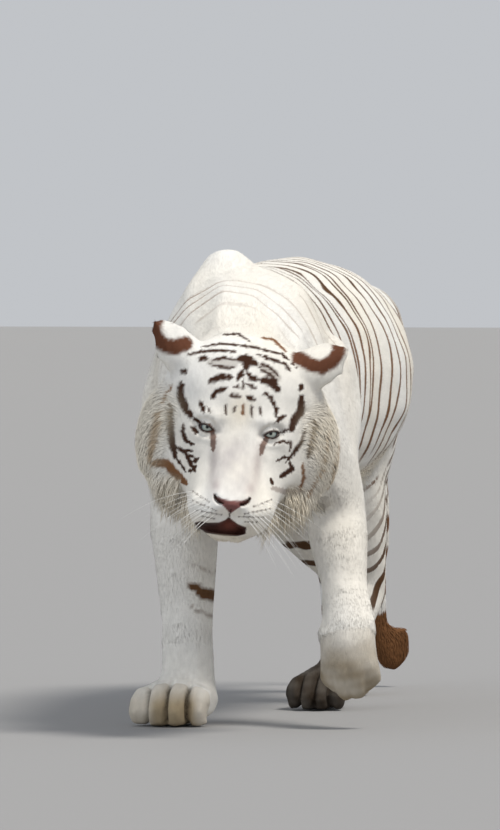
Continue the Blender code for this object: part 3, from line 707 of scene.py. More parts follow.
def toed(points, normals, side, end):
    """Points pressed into grooves between the toes, and how deep they went."""
    low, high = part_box(f"{side}_{end}_toes")
    x, y, z = points.T
    reach = (y - low.y) / (high.y - low.y)
    inside = (x > low.x - 0.01) & (x < high.x + 0.01) & (y > low.y - 0.02) & (z > low.z - 0.02)
    inside &= (z < high.z + 0.03) & (y < high.y + 0.04)
    lifted = low.z > 0.02
    run = (z - low.z) / (high.z - low.z) if lifted else reach
    strength = (1 - fade(run, 0.60, 1.10)) * inside * fade(z, 0.001, 0.012)
    strength = strength * (0.15 if lifted else 1.0)
    share = (x - low.x) / (high.x - low.x)
    press = np.zeros(len(points))
    for middle_line in GROOVES:
        gap = (share - middle_line) * (high.x - low.x)
        press = np.maximum(press, np.exp(-(gap / GROOVE_WIDTH) ** 2))
    pressed = press * strength
    swell = (1 - press) * strength * 0.40
    return points - normals * ((pressed - swell) * GROOVE_DEPTH)[:, None], pressed


groove = np.zeros(len(skin_points))
for side in ("left", "right"):
    for end in ("fore", "hind"):
        skin_points, pressed = toed(skin_points, skin_normals, side, end)
        groove = np.maximum(groove, pressed)
skin_normals = normals_of(skin_points)
print("points in the grooves of the toes:", int((groove > 0.5).sum()))

# %% [markdown]
# A coat has a lie: hair runs back from the nose over the head, along the trunk, down the
# legs and out along the tail. Each solid says which way its hair runs, from the middle of
# the solid before it to the middle of the one after. On the head it runs away from the tip
# of the nose, and the ruff droops. The ways are laid flat on the skin and eased over the
# web, so that they turn smoothly from part to part.

# %% The lie of the coat
CHAINS = [("muzzle", "head", "neck", "chest", "ribcage", "loin", "rump", "tail_root",
           "tail_upper", "tail_middle", "tail_lower", "tail_tip")]
for side in ("left_", "right_"):
    for leg in (("shoulder", "upper_arm", "forearm", "fore_paw", "fore_toes"),
                ("thigh", "shank", "hind_cannon", "hind_paw", "hind_toes")):
        CHAINS.append([side + name for name in leg])
OF_HEAD = ("head", "muzzle", "jaw", "nose")
NOSE_TIP = (0.0, -0.150, -0.050)
LIE_ROUNDS = 25
DROOP = 1.30                    # how much the long hair of the head hangs


def lie_by_solid():
    ways = {}
    for chain in CHAINS:
        for before, name, after in zip([chain[0], *chain], chain, [*chain[1:], chain[-1]]):
            ways[name] = np.array(middle(after) - middle(before))
        if "shoulder" in chain[0] or "thigh" in chain[0]:
            ways[chain[0]] = np.array((0.0, 0.8, -0.6))
            ways[chain[1]] = ways[chain[1]] + (0.0, 0.10, 0.0)
    for name, side in (("left_ear", 1), ("right_ear", -1)):
        root = HEAD @ Vector((0.100 * side, 0.130, 0.060))
        ways[name] = np.array(middle(name) - root)
    return ways


def flattened(vectors):
    """Vectors laid flat on the skin."""
    return vectors - (vectors * skin_normals).sum(axis=1, keepdims=True) * skin_normals


def combed():
    """The lie at every point of the skin."""
    ways = lie_by_solid()
    lie = np.array([unit(ways.get(name, np.array((0.0, 1.0, 0.0)))) for name in FLESH])
    away = turned(HEAD, unit(into(HEAD, skin_points) - NOSE_TIP))
    away = away + np.array((0, 0, -DROOP)) * long_hair[:, None]
    lie = np.where(is_part(skin_solid, *OF_HEAD)[:, None], away, lie[skin_solid])
    for _ in range(LIE_ROUNDS):
        lie = web.eased(unit(flattened(lie)), 2)
    return unit(flattened(lie))


skin_lie = combed()
print("combed", len(skin_lie), "points")

# %% [markdown]
# A white tiger has few pigments: white and cream hair, brown stripes that turn tan where
# the hair is thin in them, and rosy or dark bare skin. Some colours also paint shade: rose
# and mauve down the nose, and the darkest ones in the mouth, the nostrils, the grooves of
# the toes and on the left hind foot. One table of colours serves the skin and the locks
# alike, so that no seam of colour shows between them.

# %% Colours
WHITE = np.array((0.84, 0.83, 0.80))
CREAM = np.array((0.82, 0.72, 0.54))
BROWN = np.array((0.050, 0.022, 0.013))
STRIPE = np.array((0.175, 0.088, 0.042))
TAN = np.array((0.21, 0.098, 0.043))
RUST = np.array((0.125, 0.050, 0.028))
GREY = np.array((0.22, 0.18, 0.15))
ROSE = np.array((0.40, 0.31, 0.31))
MAUVE = np.array((0.47, 0.44, 0.45))
LEATHER = np.array((0.21, 0.090, 0.082))
# dark lips; the same colour is painted shade inside the open mouth and the nostrils
LIP_AND_SHADE = np.array((0.040, 0.015, 0.011))
GUM = np.array((0.165, 0.050, 0.034))
DUST = np.array((0.50, 0.39, 0.24))
# darkest brown: dirt and painted shadow on the left hind foot, painted shade in the grooves of
# the toes
DIRT_AND_SHADE = np.array((0.032, 0.023, 0.016))
print("the hair is from", WHITE, "to", BROWN)

# %% [markdown]
# No two tigers wear the same marks. On the face they are strokes of a brush, each with its
# width and the few places it passes, in millimetres on the flat map. The dark strokes are
# listed first, and the tan, faint and greyish ones after them.

# %% Strokes on the face
DARK_STROKES = (
    (4, ((-93, 156), (-53, 168), (5, 168), (70, 159), (103, 134))),
    (4, ((-52, 186), (-21, 191), (6, 176))),
    (5, ((-117, 139), (-86, 149), (-51, 154), (-21, 155))),
    (5, ((19, 154), (49, 147), (78, 140), (91, 125))),
    (10, ((-94, 133), (-78, 136))),
    (12, ((-125, 108), (-118, 102))),
    (5, ((-70, 132), (-45, 140), (-20, 138))),
    (5, ((-72, 124), (-45, 121), (-22, 122))),
    (13, ((-20, 139), (0, 143), (22, 134))),
    (13, ((1, 141), (1, 122))),
    (5, ((28, 137), (50, 129), (68, 115))),
    (5, ((27, 127), (48, 117), (66, 106))),
    (3, ((-3, 121), (-1, 80))),
    (11, ((-69, 90), (-49, 101), (-24, 104))),
    (9, ((-4, 119), (-14, 100))),
    (8, ((3, 118), (14, 105), (31, 105))),
    (14, ((33, 104), (54, 102), (71, 86))),
    (4, ((-23, 84), (-5, 86))),
    (6, ((5, 93), (29, 85))),
    (8, ((-62, 56), (-53, 71), (-35, 80))),
    (7, ((41, 80), (58, 70), (70, 49), (69, 32))),
    (8, ((-25, 66), (-5, 67))),
    (8, ((7, 67), (28, 63))),
    (4, ((-32, 45), (-27, 28))),
    (4, ((-11, 49), (-14, 36))),
    (4, ((20, 55), (22, 32))),
    (4, ((34, 52), (41, 33))),
    (7, ((-84, 51), (-72, 28))),
    (3, ((-67, 41), (-59, 26))),
    (13, ((-123, 84), (-123, 55), (-107, 28), (-93, 14))),
    (4, ((-98, 18), (-78, 8))),
    (13, ((117, 82), (118, 50), (107, 33), (102, 9))),
    (4, ((104, 16), (80, 4))),
    (7, ((88, 39), (70, 25))),
    (12, ((110, 100), (118, 96))),
    (12, ((-141, 40), (-138, 2), (-130, -36), (-119, -69))),
    (7, ((-128, -44), (-102, -53), (-89, -75), (-77, -90))),
    (4, ((-119, -67), (-96, -92))),
    (6, ((-90, -92), (-75, -77))),
    (7, ((-111, 0), (-111, -15), (-103, -30), (-87, -37))),
    (8, ((-94, -3), (-80, -14))),
    (5, ((-98, -49), (-86, -51))),
    (5, ((-95, -60), (-83, -61))),
    (6, ((-84, -73), (-73, -62))),
    (8, ((-152, -150), (-136, -177), (-104, -202))),
    (9, ((148, 36), (149, 0), (142, -38))),
    (6, ((131, 14), (127, -9), (108, -40), (98, -52))),
    (4, ((71, -21), (86, -12), (105, -14), (104, -31))),
    (4, ((80, -53), (99, -41))),
    (8, ((106, -52), (113, -65), (90, -84))),
    (5, ((72, -88), (78, -100))),
)
TAN_STROKES = (
    (5, ((23, 188), (49, 187), (78, 165))),
    (14, ((-164, 22), (-167, -20), (-172, -80))),
    # this stroke under the cheek is partly a brown mark and partly painted shade behind the
    # muzzle
    (16, ((-172, -84), (-136, -80), (-118, -98), (-92, -116))),
    (5, ((-140, 77), (-160, 37))),
    (5, ((4, 52), (4, 30))),
    (6, ((132, -50), (138, -81), (133, -106))),
    (5, ((180, 20), (176, -60), (150, -120))),
    (5, ((205, -10), (196, -90), (172, -150))),
)
# faint ones: strength, width, places
FAINT_STROKES = (
    (0.50, 9, ((76, -106), (108, -112), (140, -108))),
    (0.85, 9, ((-60, 6), (-53, -7), (-48, -24), (-47, -46))),
    (0.85, 9, ((62, 2), (56, -10), (50, -26), (48, -44))),
)
GREY_STROKES = (
    (15, ((-70, 128), (-45, 131), (-22, 130))),
    (13, ((28, 132), (50, 123), (67, 110))),
)
EAR_STROKES = (
    (30, ((-186, 206), (-190, 186), (-184, 166), (-168, 154), (-146, 150), (-124, 160))),
    (28, ((102, 156), (126, 145), (150, 141), (170, 156), (181, 176), (178, 194))),
)
# rows of dots that whiskers spring from: first dot, last dot, how many
WHISKER_ROWS = (
    ((44, -146), (78, -129), 5), ((28, -162), (77, -147), 7), ((18, -169), (67, -165), 6),
    ((30, -178), (54, -176), 4),
)
print("dark strokes:", len(DARK_STROKES), "tan strokes:", len(TAN_STROKES))

# %% [markdown]
# Paint is laid on in order: tan, faint and greyish strokes first and the dark ones over
# them. A stroke drawn on smooth skin would look printed, so its places are first nudged a
# little this way and that, as hair does to an edge. Soft tints lie under the strokes: cream
# between the brows, and rose and mauve down the nose that are partly painted shade. The
# dark rims of the eyes lie over the tints.

# %% Painting the face


def painted(colours, amount, colour):
    return mix(colours, colour, np.clip(amount, 0, 1))


def ragged(points, seed):
    """Points nudged a little this way and that, so that a stroke gets a hairy edge."""
    nudge = np.stack([wander(points, 0.012, seed + i) for i in range(3)], axis=1)
    return points + 0.0012 * nudge


# each mark: its strength, its width, its places, its ink, and whether its ends are thin
MARKS = [(1.0, 1.15 * width, line, TAN, True) for width, line in TAN_STROKES]
MARKS += [(strength, 1.3 * width, line, RUST, True) for strength, width, line in FAINT_STROKES]
MARKS += [(0.4, width, line, GREY, False) for width, line in GREY_STROKES]
MARKS += [(1.0, 1.30 * width, line, BROWN, True) for width, line in DARK_STROKES]


def face_marks(colours, points, normals):
    """Paints the marks of the face over the colours."""
    x, y, _ = into(FACE, points).T
    facing = fade(-normals @ BACK, -0.25, 0.10)
    facing = facing * np.where(x < 0, 1 - fade(y, 0.20, 0.27), 1.0)
    rough = ragged(points, 3)
    for strength, width, line, colour, taper in MARKS:
        mark = stroke(rough, line, width, taper)
        colours = painted(colours, strength * facing * mark, colour)
    return colours


def face_tints(colours, points):
    """Cream between the brows, painted shade and tint down the nose, and dark rims to the eyes.
    """
    x, y, z = (1000 * into(FACE, points)).T
    front = (y < 110) * 1.0
    brow = np.exp(-(x / 26) ** 2 - ((z - 40) / 34) ** 2)
    colours = painted(colours, 0.5 * brow * front, CREAM)
    # rose down the sides of the bridge: painted shade where the bridge turns into the cheeks
    bridge = np.exp(-((np.abs(x) - 43) / 9) ** 2 - ((z + 62) / 46) ** 2)
    colours = painted(colours, 0.42 * bridge * front, ROSE)
    # mauve over the muzzle: partly its own grey-pink tint, partly painted shade
    top = np.exp(-(x / 44) ** 4 - ((z + 74) / 62) ** 4)
    colours = painted(colours, 0.42 * top * front * (1 + 0.4 * wander(points, 0.060, 91)), MAUVE)
    # rose beside the wings of the nose: painted shade
    wings = np.exp(-((np.abs(x) - 34) / 9) ** 2 - ((z + 112) / 13) ** 2)
    colours = painted(colours, 0.42 * wings * front, ROSE)
    for (x0, z0), (x1, z1), count in WHISKER_ROWS:
        for side in (1, -1):
            row = stroke(points, ((side * x0, z0), (side * x1, z1)), 2.6)
            colours = painted(colours, 0.50 * front * row, BROWN)
            for t in np.linspace(0, 1, count):
                dot = np.hypot(x - side * (x0 + t * (x1 - x0)), z - z0 - t * (z1 - z0))
                colours = painted(colours, 0.8 * front * (1 - fade(dot, 1.0, 2.4)), BROWN)
    gap = 1000 * lid_gap(points)
    return painted(colours, 1 - fade(gap, 1.8, 4.6), BROWN * 0.7)


def nose_and_lips(points):
    """How much of each point is bare: leather of the nose, and lips."""
    x, y, z = (1000 * into(FACE, points)).T
    front = (y < 0) * 1.0
    lower_edge = np.interp(np.abs(x), (0, 11, 26, 39), (165, 155, 143, 129))
    upper_edge = np.interp(np.abs(x), (0, 20, 31, 39), (139, 137, 133, 127))
    leather = front * fade(lower_edge + z, -1.5, 1.5) * fade(-z - upper_edge, -1.5, 1.5)
    leather = leather * (np.abs(x) < 38)
    lips = fade(1000 * in_mouth(points), -2.6, -0.4)
    return leather, lips


def nostrils(points):
    """How much painted shade each point gets in a nostril or the groove below the nose."""
    front = into(FACE, points)[:, 1] < 0.02
    dark = stroke(points, PHILTRUM, 3.0)
    for side in (1, -1):
        dark = np.maximum(dark, stroke(points, mirrored(NOSTRIL, side), 7.0))
    return dark * front


print("marks on the face:", len(MARKS))

# %% [markdown]
# The body's stripes are rings round the trunk that fan out over the thighs and turn into
# bars down the legs. A number that counts stripes along the body does all of that: it grows
# towards the tail on the trunk, and below the hip it turns about the hip and grows
# downwards. Where its fraction is near a half there is a stripe. Wandering numbers bend
# the stripes, vary their width and break them, and some are two lines instead of one.
#
# The squares of the skin's body are about as wide as a stripe, so a stripe painted point by
# point would have steps. Each rule below therefore doesn't paint. It gives numbers that
# change smoothly: how far a point is off the middle of its stripe, the spacing of the
# stripes, half the width of a line, how far a pair of lines stands apart, how strong the
# ink is, and its colour. The skin's material draws the lines from these numbers.

# %% Stripes of the body
STRIPE_SPACING = 0.072
RING_EDGE = 0.0018             # half of the soft edge of a line
DOUBLED = 0.35                 # the share of stripes that are two lines on the back
FIRST_STRIPE = -0.42           # y where the stripes begin, behind the shoulder
HIP = np.array((0.0, 0.560, 0.740))


def stripe_count(points):
    """A number that grows by one from stripe to stripe."""
    x, y, z = points.T
    round_trunk = np.arctan2(np.abs(x), z - 0.62)
    down = fade(HIP[2] - z, 0.02, 0.32) * fade(y, -0.08, 0.46)
    turn_angle = down * math.radians(78)
    behind = y - HIP[1]
    behind = mix(behind, 0.18 * np.tanh(behind / 0.18), down * (behind > 0))
    along = np.cos(turn_angle) * behind + np.sin(turn_angle) * (HIP[2] - z)
    bend = 0.020 * wander(points, 0.34, 11) + 0.006 * wander(points, 0.11, 12)
    return (along + 0.030 * round_trunk + bend) / STRIPE_SPACING


def line_mask(distance, half):
    return np.where(half > 0, 1 - fade(distance, half - RING_EDGE, half + RING_EDGE), 0.0)


def off_middle(count, spacing):
    """How far a place is off the middle of its stripe, from its count of stripes."""
    return (count - np.floor(count) - 0.5) * spacing


def chance_of(number, seed):
    """A number from 0 to 1 that is fixed for each whole number."""
    wild = np.sin((number + seed) * 12.9898) * 43758.5453
    return wild - np.floor(wild)


def body_rings(points):
    x, y, z = points.T
    count = stripe_count(points)
    which = np.floor(count)
    left = fade(x, -0.04, 0.04)

    def by_side(rule):
        return mix(rule(which), rule(which + 40.0), left)

    round_trunk = np.arctan2(np.abs(x), z - 0.62)
    on_leg = fade(HIP[2] - z, 0.10, 0.26) * fade(y, 0.20, 0.34)
    shift = 0.008 * (2 * by_side(lambda n: chance_of(n, 5)) - 1) * (1 - on_leg)
    off = off_middle(count, STRIPE_SPACING) + shift
    end = 1.55 + 0.75 * by_side(lambda n: chance_of(n, 1))
    closing = np.maximum(fade(round_trunk, end - 0.55, end), on_leg)
    ending = (1 - on_leg) * fade(round_trunk, end + 0.15, end + 0.45)
    starting = y + 0.05 * wander(points, 0.22, 25) - 0.10 * fade(round_trunk, 0.5, 1.2)
    strength = fade(starting, FIRST_STRIPE, FIRST_STRIPE + 0.07) * (1 - ending)
    split = by_side(lambda n: (chance_of(n, 3) < DOUBLED) * 1.0) * (1 - closing)
    apart = (0.0125 + 0.003 * wander(points, 0.30, 21)) * split
    half = 0.0074 + 0.0018 * wander(points, 0.15, 22) + 0.0026 * closing - 0.0012 * split
    half = mix(half, 0.0125 + 0.0030 * wander(points, 0.10, 23), on_leg)
    broken = fade(wander(points, 0.26, 24), -1.25, -0.95)
    darker = np.maximum(on_leg, fade(round_trunk, 0.9, 0.2))
    ink = mix(STRIPE[None], STRIPE[None] * 0.55, darker)
    return off, STRIPE_SPACING, half, apart, broken * strength, ink


NECK_STRIPES = 0.052
NECK_ENDS = -0.39              # y where the lines of the neck give way to the body's stripes


def neck_rings(points):
    """Thin faint lines across the neck and over the shoulders' hump."""
    x, y, z = points.T
    bent = y + 0.10 * np.abs(x - 0.02) + 0.010 * wander(points, 0.30, 71)
    off = off_middle(bent / NECK_STRIPES, NECK_STRIPES)
    half = 0.0036 + 0.0018 * wander(points, 0.11, 72)
    side = 0.45 + 0.55 * fade(-x, 0.02, 0.10)
    broken = fade(wander(points, 0.16, 73), -0.9, -0.4)
    there = fade(z, 0.70, 0.80) * fade(y, -0.74, -0.66) * (1 - fade(y, -0.43, NECK_ENDS))
    return off, NECK_STRIPES, half, 0.0, 0.85 * side * broken * there, STRIPE * 1.2


TAIL_RING = 0.072              # from ring to ring along the tail
TAIL_LINE = [np.array(middle(name)) for name in CHAINS[0][-5:]]


def tail_rings(points):
    """Rings that close up towards a dark tip."""
    _, run, whole = along_line(points, TAIL_LINE)
    off = off_middle((run + 0.008 * wander(points, 0.10, 41)) / TAIL_RING, TAIL_RING)
    half = 0.0175 + 0.030 * fade(run, whole - 0.050, whole - 0.020)
    return off, TAIL_RING, half, 0.0, 1.0, TAN * 0.80


print("stripes from shoulder to toes:", round(float(np.ptp(stripe_count(skin_points)))))

# %% [markdown]
# One function puts the colours together, part by part. The skin asks it for the colour of
# its points, and later every lock of hair asks it for the colour at its own place, so that
# both wear the same marks.

# %% Colours of the whole coat
OF_REAR = ("ribcage", "loin", "rump", "thigh", "shank", "hind_cannon", "chest")
OF_NECK = ("neck", "shoulder")
OF_LEGS = ("arm", "cannon", "paw", "toes")
# bars inside the right elbow: how far below the top of the forearm, half width, strength
BARS = ((0.222, 0.0125, 1.0), (0.172, 0.0035, 0.45), (0.262, 0.0035, 0.55))


def foot_marks(colours, points, solid):
    """Dust, dirt and painted shade on the feet, and the brown bars inside the right elbow."""
    x, _, z = points.T
    low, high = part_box("right_fore_toes")
    across = (x - low.x) / (high.x - low.x)
    middle_toes = fade(across, 0.25, 0.42) * (1 - fade(across, 0.78, 0.92))
    sandy = (0.50 + 0.45 * middle_toes) * (1 - 0.6 * fade(z, 0.5 * high.z, high.z))
    colours = painted(colours, is_part(solid, "right_fore_toes") * sandy, DUST * 0.80)
    # dust on the lifted paw, with painted shade that grows towards its bottom
    low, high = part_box("left_fore_paw")
    cloud = 0.85 + 0.15 * wander(points, 0.07, 81)
    dust_and_shade = is_part(solid, *LIFTED) * cloud * (1 - 0.75 * fade(z, low.z, high.z + 0.02))
    colours = painted(colours, 0.90 * dust_and_shade, DUST * 0.50)
    # the left hind foot stands in the body's shadow: dirt and painted shadow, darker towards the
    # bottom of the cannon and over the whole paw
    low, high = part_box("left_hind_cannon")
    dirt_and_shadow = is_part(solid, "left_hind_cannon") * (1 - fade(z, low.z, mix(low.z, high.z, 0.55)))
    dirt_and_shadow = np.maximum(is_part(solid, "left_hind_toes", "left_hind_paw") * 1.0, dirt_and_shadow)
    colours = painted(colours, dirt_and_shadow * (0.97 + 0.03 * wander(points, 0.05, 82)), DIRT_AND_SHADE)
    hind = is_part(solid, "right_hind_toes", "right_hind_paw") * 1.0
    colours = painted(colours, 0.55 * hind, DUST * 0.6)
    arm = is_part(solid, "right_upper_arm", "right_forearm")
    low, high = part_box("right_forearm")
    inner = fade(x, mix(low.x, high.x, 0.55), mix(low.x, high.x, 0.80))
    for drop, half, ink in BARS:
        line = np.abs(z - high.z + drop + 0.6 * (x - high.x) + 0.003 * wander(points, 0.08, 83))
        mark = arm * fade(inner, 0.05, 0.35) * line_mask(line, half * (0.35 + 0.65 * inner))
        colours = painted(colours, ink * mark, STRIPE * 0.75)
    return colours


def coat_colours(points, normals, solid):
    """The colour of the coat without its rings, given which solid a point belongs to."""
    colours = np.tile(WHITE, (len(points), 1))
    warm = 0.5 + 0.5 * wander(points, 0.30, 51)
    colours = painted(colours, 0.28 * warm, CREAM)
    colours = painted(colours, 0.25 * fade(-normals[:, 2], 0.2, 0.9), CREAM)
    chosen = is_part(solid, *OF_HEAD, *OF_NECK)
    head = face_tints(colours[chosen], points[chosen])
    colours[chosen] = face_marks(head, points[chosen], normals[chosen])
    chosen = is_part(solid, *EARS, *OF_HEAD)
    ear = colours[chosen]
    facing = fade(-normals[chosen] @ BACK, -0.5, -0.2)
    rough = ragged(points[chosen], 5)
    for width, line in EAR_STROKES:
        ear = painted(ear, facing * stroke(rough, line, width, False), RUST)
    colours[chosen] = ear
    chosen = is_part(solid, *OF_LEGS)
    colours[chosen] = foot_marks(colours[chosen], points[chosen], solid[chosen])
    return colours


def rings(points, solid):
    """The numbers of the stripe that each point is nearest to, and its ink."""
    numbers = np.zeros((len(points), 5))
    numbers[:, 1] = 1.0
    ink = np.tile(STRIPE, (len(points), 1))
    neck = is_part(solid, *OF_NECK) & (points[:, 1] < NECK_ENDS)
    body = is_part(solid, *OF_REAR, *OF_NECK) & ~neck
    for chosen, rule in ((neck, neck_rings), (body, body_rings),
                         (is_part(solid, "tail"), tail_rings)):
        *values, colour = rule(points[chosen])
        numbers[chosen] = np.stack(np.broadcast_arrays(*values), axis=1)
        ink[chosen] = colour
    return numbers, ink


def striped(points, normals, solid):
    """Colours of the coat with the rings drawn in, for the locks."""
    numbers, ink = rings(points, solid)
    off, _, half, apart, strength = numbers.T
    lines = line_mask(np.abs(np.abs(off) - apart), half) * strength
    return painted(coat_colours(points, normals, solid), lines, ink)


skin_colours = coat_colours(skin_points, skin_normals, skin_solid)
# the lips are dark, and the open mouth between them gets painted shade
leather, lips = nose_and_lips(skin_points)
x, y, z = (1000 * into(FACE, skin_points)).T
notch = np.exp(-(x / 20) ** 2 - ((z + 186) / 13) ** 2)
# the grooves between the toes are painted near black: painted shade in the creases
for amount, colour in ((leather, LEATHER), (lips, LIP_AND_SHADE), (lips * notch, GUM),
                       (nostrils(skin_points), LIP_AND_SHADE), (0.35 * long_hair, CREAM),
                       (0.75 * fade(groove, 0.3, 0.9), DIRT_AND_SHADE)):
    skin_colours = painted(skin_colours, amount, colour)
bare = np.maximum(leather, lips)
print("bare skin on", int((bare > 0.5).sum()), "points")

# %% [markdown]
# Shader maths reads best as maths. This small class wraps an output socket, and arithmetic
# on it adds the Math nodes. Its other method adds any node at all: first its settings,
# then the values or links of its sockets. The functions after it are what every material
# and every mesh below needs.

# %% A socket that can be reckoned with


class Wire:
    """An output socket of a material's node tree."""

    def __init__(self, socket):
        self.socket = socket
        self.tree = socket.id_data

    @classmethod
    def node(cls, tree, kind, settings=None, inputs=None, output=0):
        made = tree.nodes.new("ShaderNode" + kind)
        for name, value in (settings or {}).items():
            if name == "stops":
                fill_ramp(made.color_ramp, value)
            else:
                setattr(made, name, value)
        for name, value in (inputs or {}).items():
            if isinstance(value, Wire):
                tree.links.new(value.socket, made.inputs[name])
            else:
                made.inputs[name].default_value = value
        return cls(made.outputs[output])

    def maths(self, operation, one, other):
        return Wire.node(self.tree, "Math", {"operation": operation}, {0: one, 1: other})

    def __add__(self, other):
        return self.maths("ADD", self, other)

    def __mul__(self, other):
        return self.maths("MULTIPLY", self, other)

    def __sub__(self, other):
        return self.maths("SUBTRACT", self, other)

    def __rsub__(self, other):
        return self.maths("SUBTRACT", other, self)

    def __truediv__(self, other):
        return self.maths("DIVIDE", self, other)

    def __abs__(self):
        return Wire.node(self.tree, "Math", {"operation": "ABSOLUTE"}, {0: self})

    __radd__, __rmul__ = __add__, __mul__

    def between(self, start, end):
        """0 below start, 1 above end, soft between."""
        return Wire.node(self.tree, "MapRange", {"interpolation_type": "SMOOTHSTEP"},
                         {"Value": self, "From Min": start, "From Max": end})

    def tint(self, one, other):
        """One colour where this is 0 and the other where it is 1."""
        return Wire.node(self.tree, "Mix", {"data_type": "RGBA"},
                         {"Factor": self, "A": one, "B": other}, "Result")


def fill_ramp(ramp, stops):
    while len(ramp.elements) < len(stops):
        ramp.elements.new(0.5)
    for element, (place, colour) in zip(ramp.elements, stops):
        element.position = place
        element.color = colour


def material(name, **constants):
    """A new material and its shader, with constants on the shader's own sockets."""
    made = bpy.data.materials.new(name)
    made.use_nodes = True
    shader = made.node_tree.nodes["Principled BSDF"]
    for socket, value in constants.items():
        shader.inputs[socket.replace("_", " ")].default_value = value
    return made, made.node_tree, shader


def feed(tree, shader, **wires):
    for socket, wire in wires.items():
        tree.links.new(wire.socket, shader.inputs[socket.replace("_", " ")])


def carried(tree, name, output="Color"):
    """What the points of the mesh carry under a name."""
    return Wire.node(tree, "Attribute", {"attribute_name": name}, output=output)


def noise(tree, scale, detail=2.0):
    return Wire.node(tree, "TexNoise", {}, {"Scale": scale, "Detail": detail})


def number_layer(mesh, name, *columns):
    """Makes the points of a mesh carry one number or three."""
    kind, field = ("FLOAT", "value") if len(columns) == 1 else ("FLOAT_VECTOR", "vector")
    values = np.stack(columns, axis=1).astype(np.float32).ravel()
    mesh.attributes.new(name, kind, "POINT").data.foreach_set(field, values)


def colour_layer(mesh, colours, name="coat", strength=1.0):
    rgba = np.ones((len(colours), 4), np.float32)
    rgba[:, :3] = np.clip(colours, 0, 1)
    rgba[:, 3] = strength
    layer = mesh.color_attributes.new(name, "FLOAT_COLOR", "POINT")
    layer.data.foreach_set("color", rgba.ravel())


# %% [markdown]
# A tiger's eyeball is nearly all iris where it shows. The iris is a pale icy blue, darker
# at its rim, flecked outwards from a small round pupil, and a clear cornea bulges over it.
# The ball is a sphere with that bulge, turned so that its axis looks at whoever meets the
# tiger. Its colours depend only on the angle from that axis, which is stored on the mesh.

# %% Eyeballs
IRIS = 0.70                     # radians from the axis to the iris's rim
PUPIL = 0.155
CORNEA_RISE = 0.0012


def built(builder, name, finish):
    """The bmesh as a smooth mesh of one material. The bmesh itself is given up."""
    mesh = bpy.data.meshes.new(name)
    builder.to_mesh(mesh)
    builder.free()
    mesh.shade_smooth()
    mesh.materials.append(finish)
    return mesh


def eye_material():
    made, tree, shader = material("eyeball", Roughness=0.06, IOR=1.40)
    angle = carried(tree, "angle", "Fac")
    spoke = carried(tree, "spoke", "Vector")
    flecks = Wire.node(tree, "TexNoise", {}, {"Vector": spoke, "Scale": 9.0, "Detail": 4.0})
    across = (angle - PUPIL) / (IRIS - PUPIL)
    iris = Wire.node(tree, "ValToRGB", {"stops": (
        (0.0, (0.14, 0.16, 0.15, 1)), (0.20, (0.38, 0.42, 0.37, 1)),
        (0.62, (0.30, 0.35, 0.33, 1)), (0.86, (0.11, 0.14, 0.15, 1)),
        (1.0, (0.025, 0.030, 0.035, 1)))}, {"Fac": across + (flecks - 0.5) * 0.22})
    white = angle.between(IRIS + 0.02, IRIS + 0.16)
    pupil = 1 - angle.between(PUPIL - 0.03, PUPIL + 0.02)
    # the white of the eye is dark brown: its own brownish colour, darkened as painted shade under
    # the lids
    colour = white.tint(iris, (0.13, 0.085, 0.070, 1))
    feed(tree, shader, Base_Color=pupil.tint(colour, (0.004, 0.004, 0.005, 1)))
    return made


def eyeball(name, side):
    builder = bmesh.new()
    bmesh.ops.create_uvsphere(builder, u_segments=48, v_segments=40, radius=1.0)
    co = np.array([v.co for v in builder.verts])
    angle = np.arccos(np.clip(co[:, 2], -1, 1))
    radius = BALL_RADIUS + CORNEA_RISE * (1 - fade(angle, 0.25, IRIS + 0.12))
    gaze = (FACE.to_3x3() @ Vector((0.02 * side, -1.0, 0.0))).to_track_quat("Z", "Y")
    place = Matrix.Translation(eye_frame(side).translation) @ gaze.to_matrix().to_4x4()
    for vert, size in zip(builder.verts, radius):
        vert.co = place @ (vert.co * size)
    mesh = built(builder, name + "_eyeball", EYE_MATERIAL)
    spokes = co[:, :2] / np.maximum(np.hypot(co[:, 0], co[:, 1]), 0.05)[:, None]
    number_layer(mesh, "angle", angle)
    number_layer(mesh, "spoke", *spokes.T, 0.25 * angle)
    made = placed(name + "_eyeball", mesh)
    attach(made, "root")
    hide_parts(name + "_eye")


EYE_MATERIAL = eye_material()
SIDES = (("left", 1), ("right", -1))
for name, side in SIDES:
    eyeball(name, side)
print("eyeballs", round(2000 * BALL_RADIUS), "mm across")

# %% [markdown]
# The very edge of a tiger's lids is bare, dark and moist, and it draws the eye's outline.
# It is a thin roll that follows the almond on the ball: a ring of small circles along the
# upper arc and back along the lower one. It also covers the stepped edge of the skin.

# %% Rims of the lids
RIM_THICKNESS = 0.00135
RIM_STEPS = 26
RIM_RIDE = 0.0012              # how far its middle lies over the ball


def almond_outline():
    """Places along the edge of the opening, once round, in the eye's own frame."""
    places = []
    for height, sign in ((RISE, 1), (DROP, -1)):
        radius = (HALF_LENGTH ** 2 + height ** 2) / (2 * height)
        for step in range(RIM_STEPS):
            across = HALF_LENGTH * math.cos(math.pi * step / RIM_STEPS) * -sign
            up = math.sqrt(radius ** 2 - across ** 2) - (radius - height)
            places.append((across, sign * up))
    return places


def ring_round(builder, centre, one, other, radius, count, place=Matrix.Identity(4)):
    """Points on a circle round a centre, across the plane of two directions."""
    return [builder.verts.new(place @ (
        centre + (one * math.cos(angle) + other * math.sin(angle)) * radius))
        for angle in (k * math.tau / count for k in range(count))]


def bridged(builder, one, other):
    """Squares from one ring of points to another."""
    for k in range(len(one)):
        after = (k + 1) % len(one)
        builder.faces.new((one[k], one[after], other[after], other[k]))


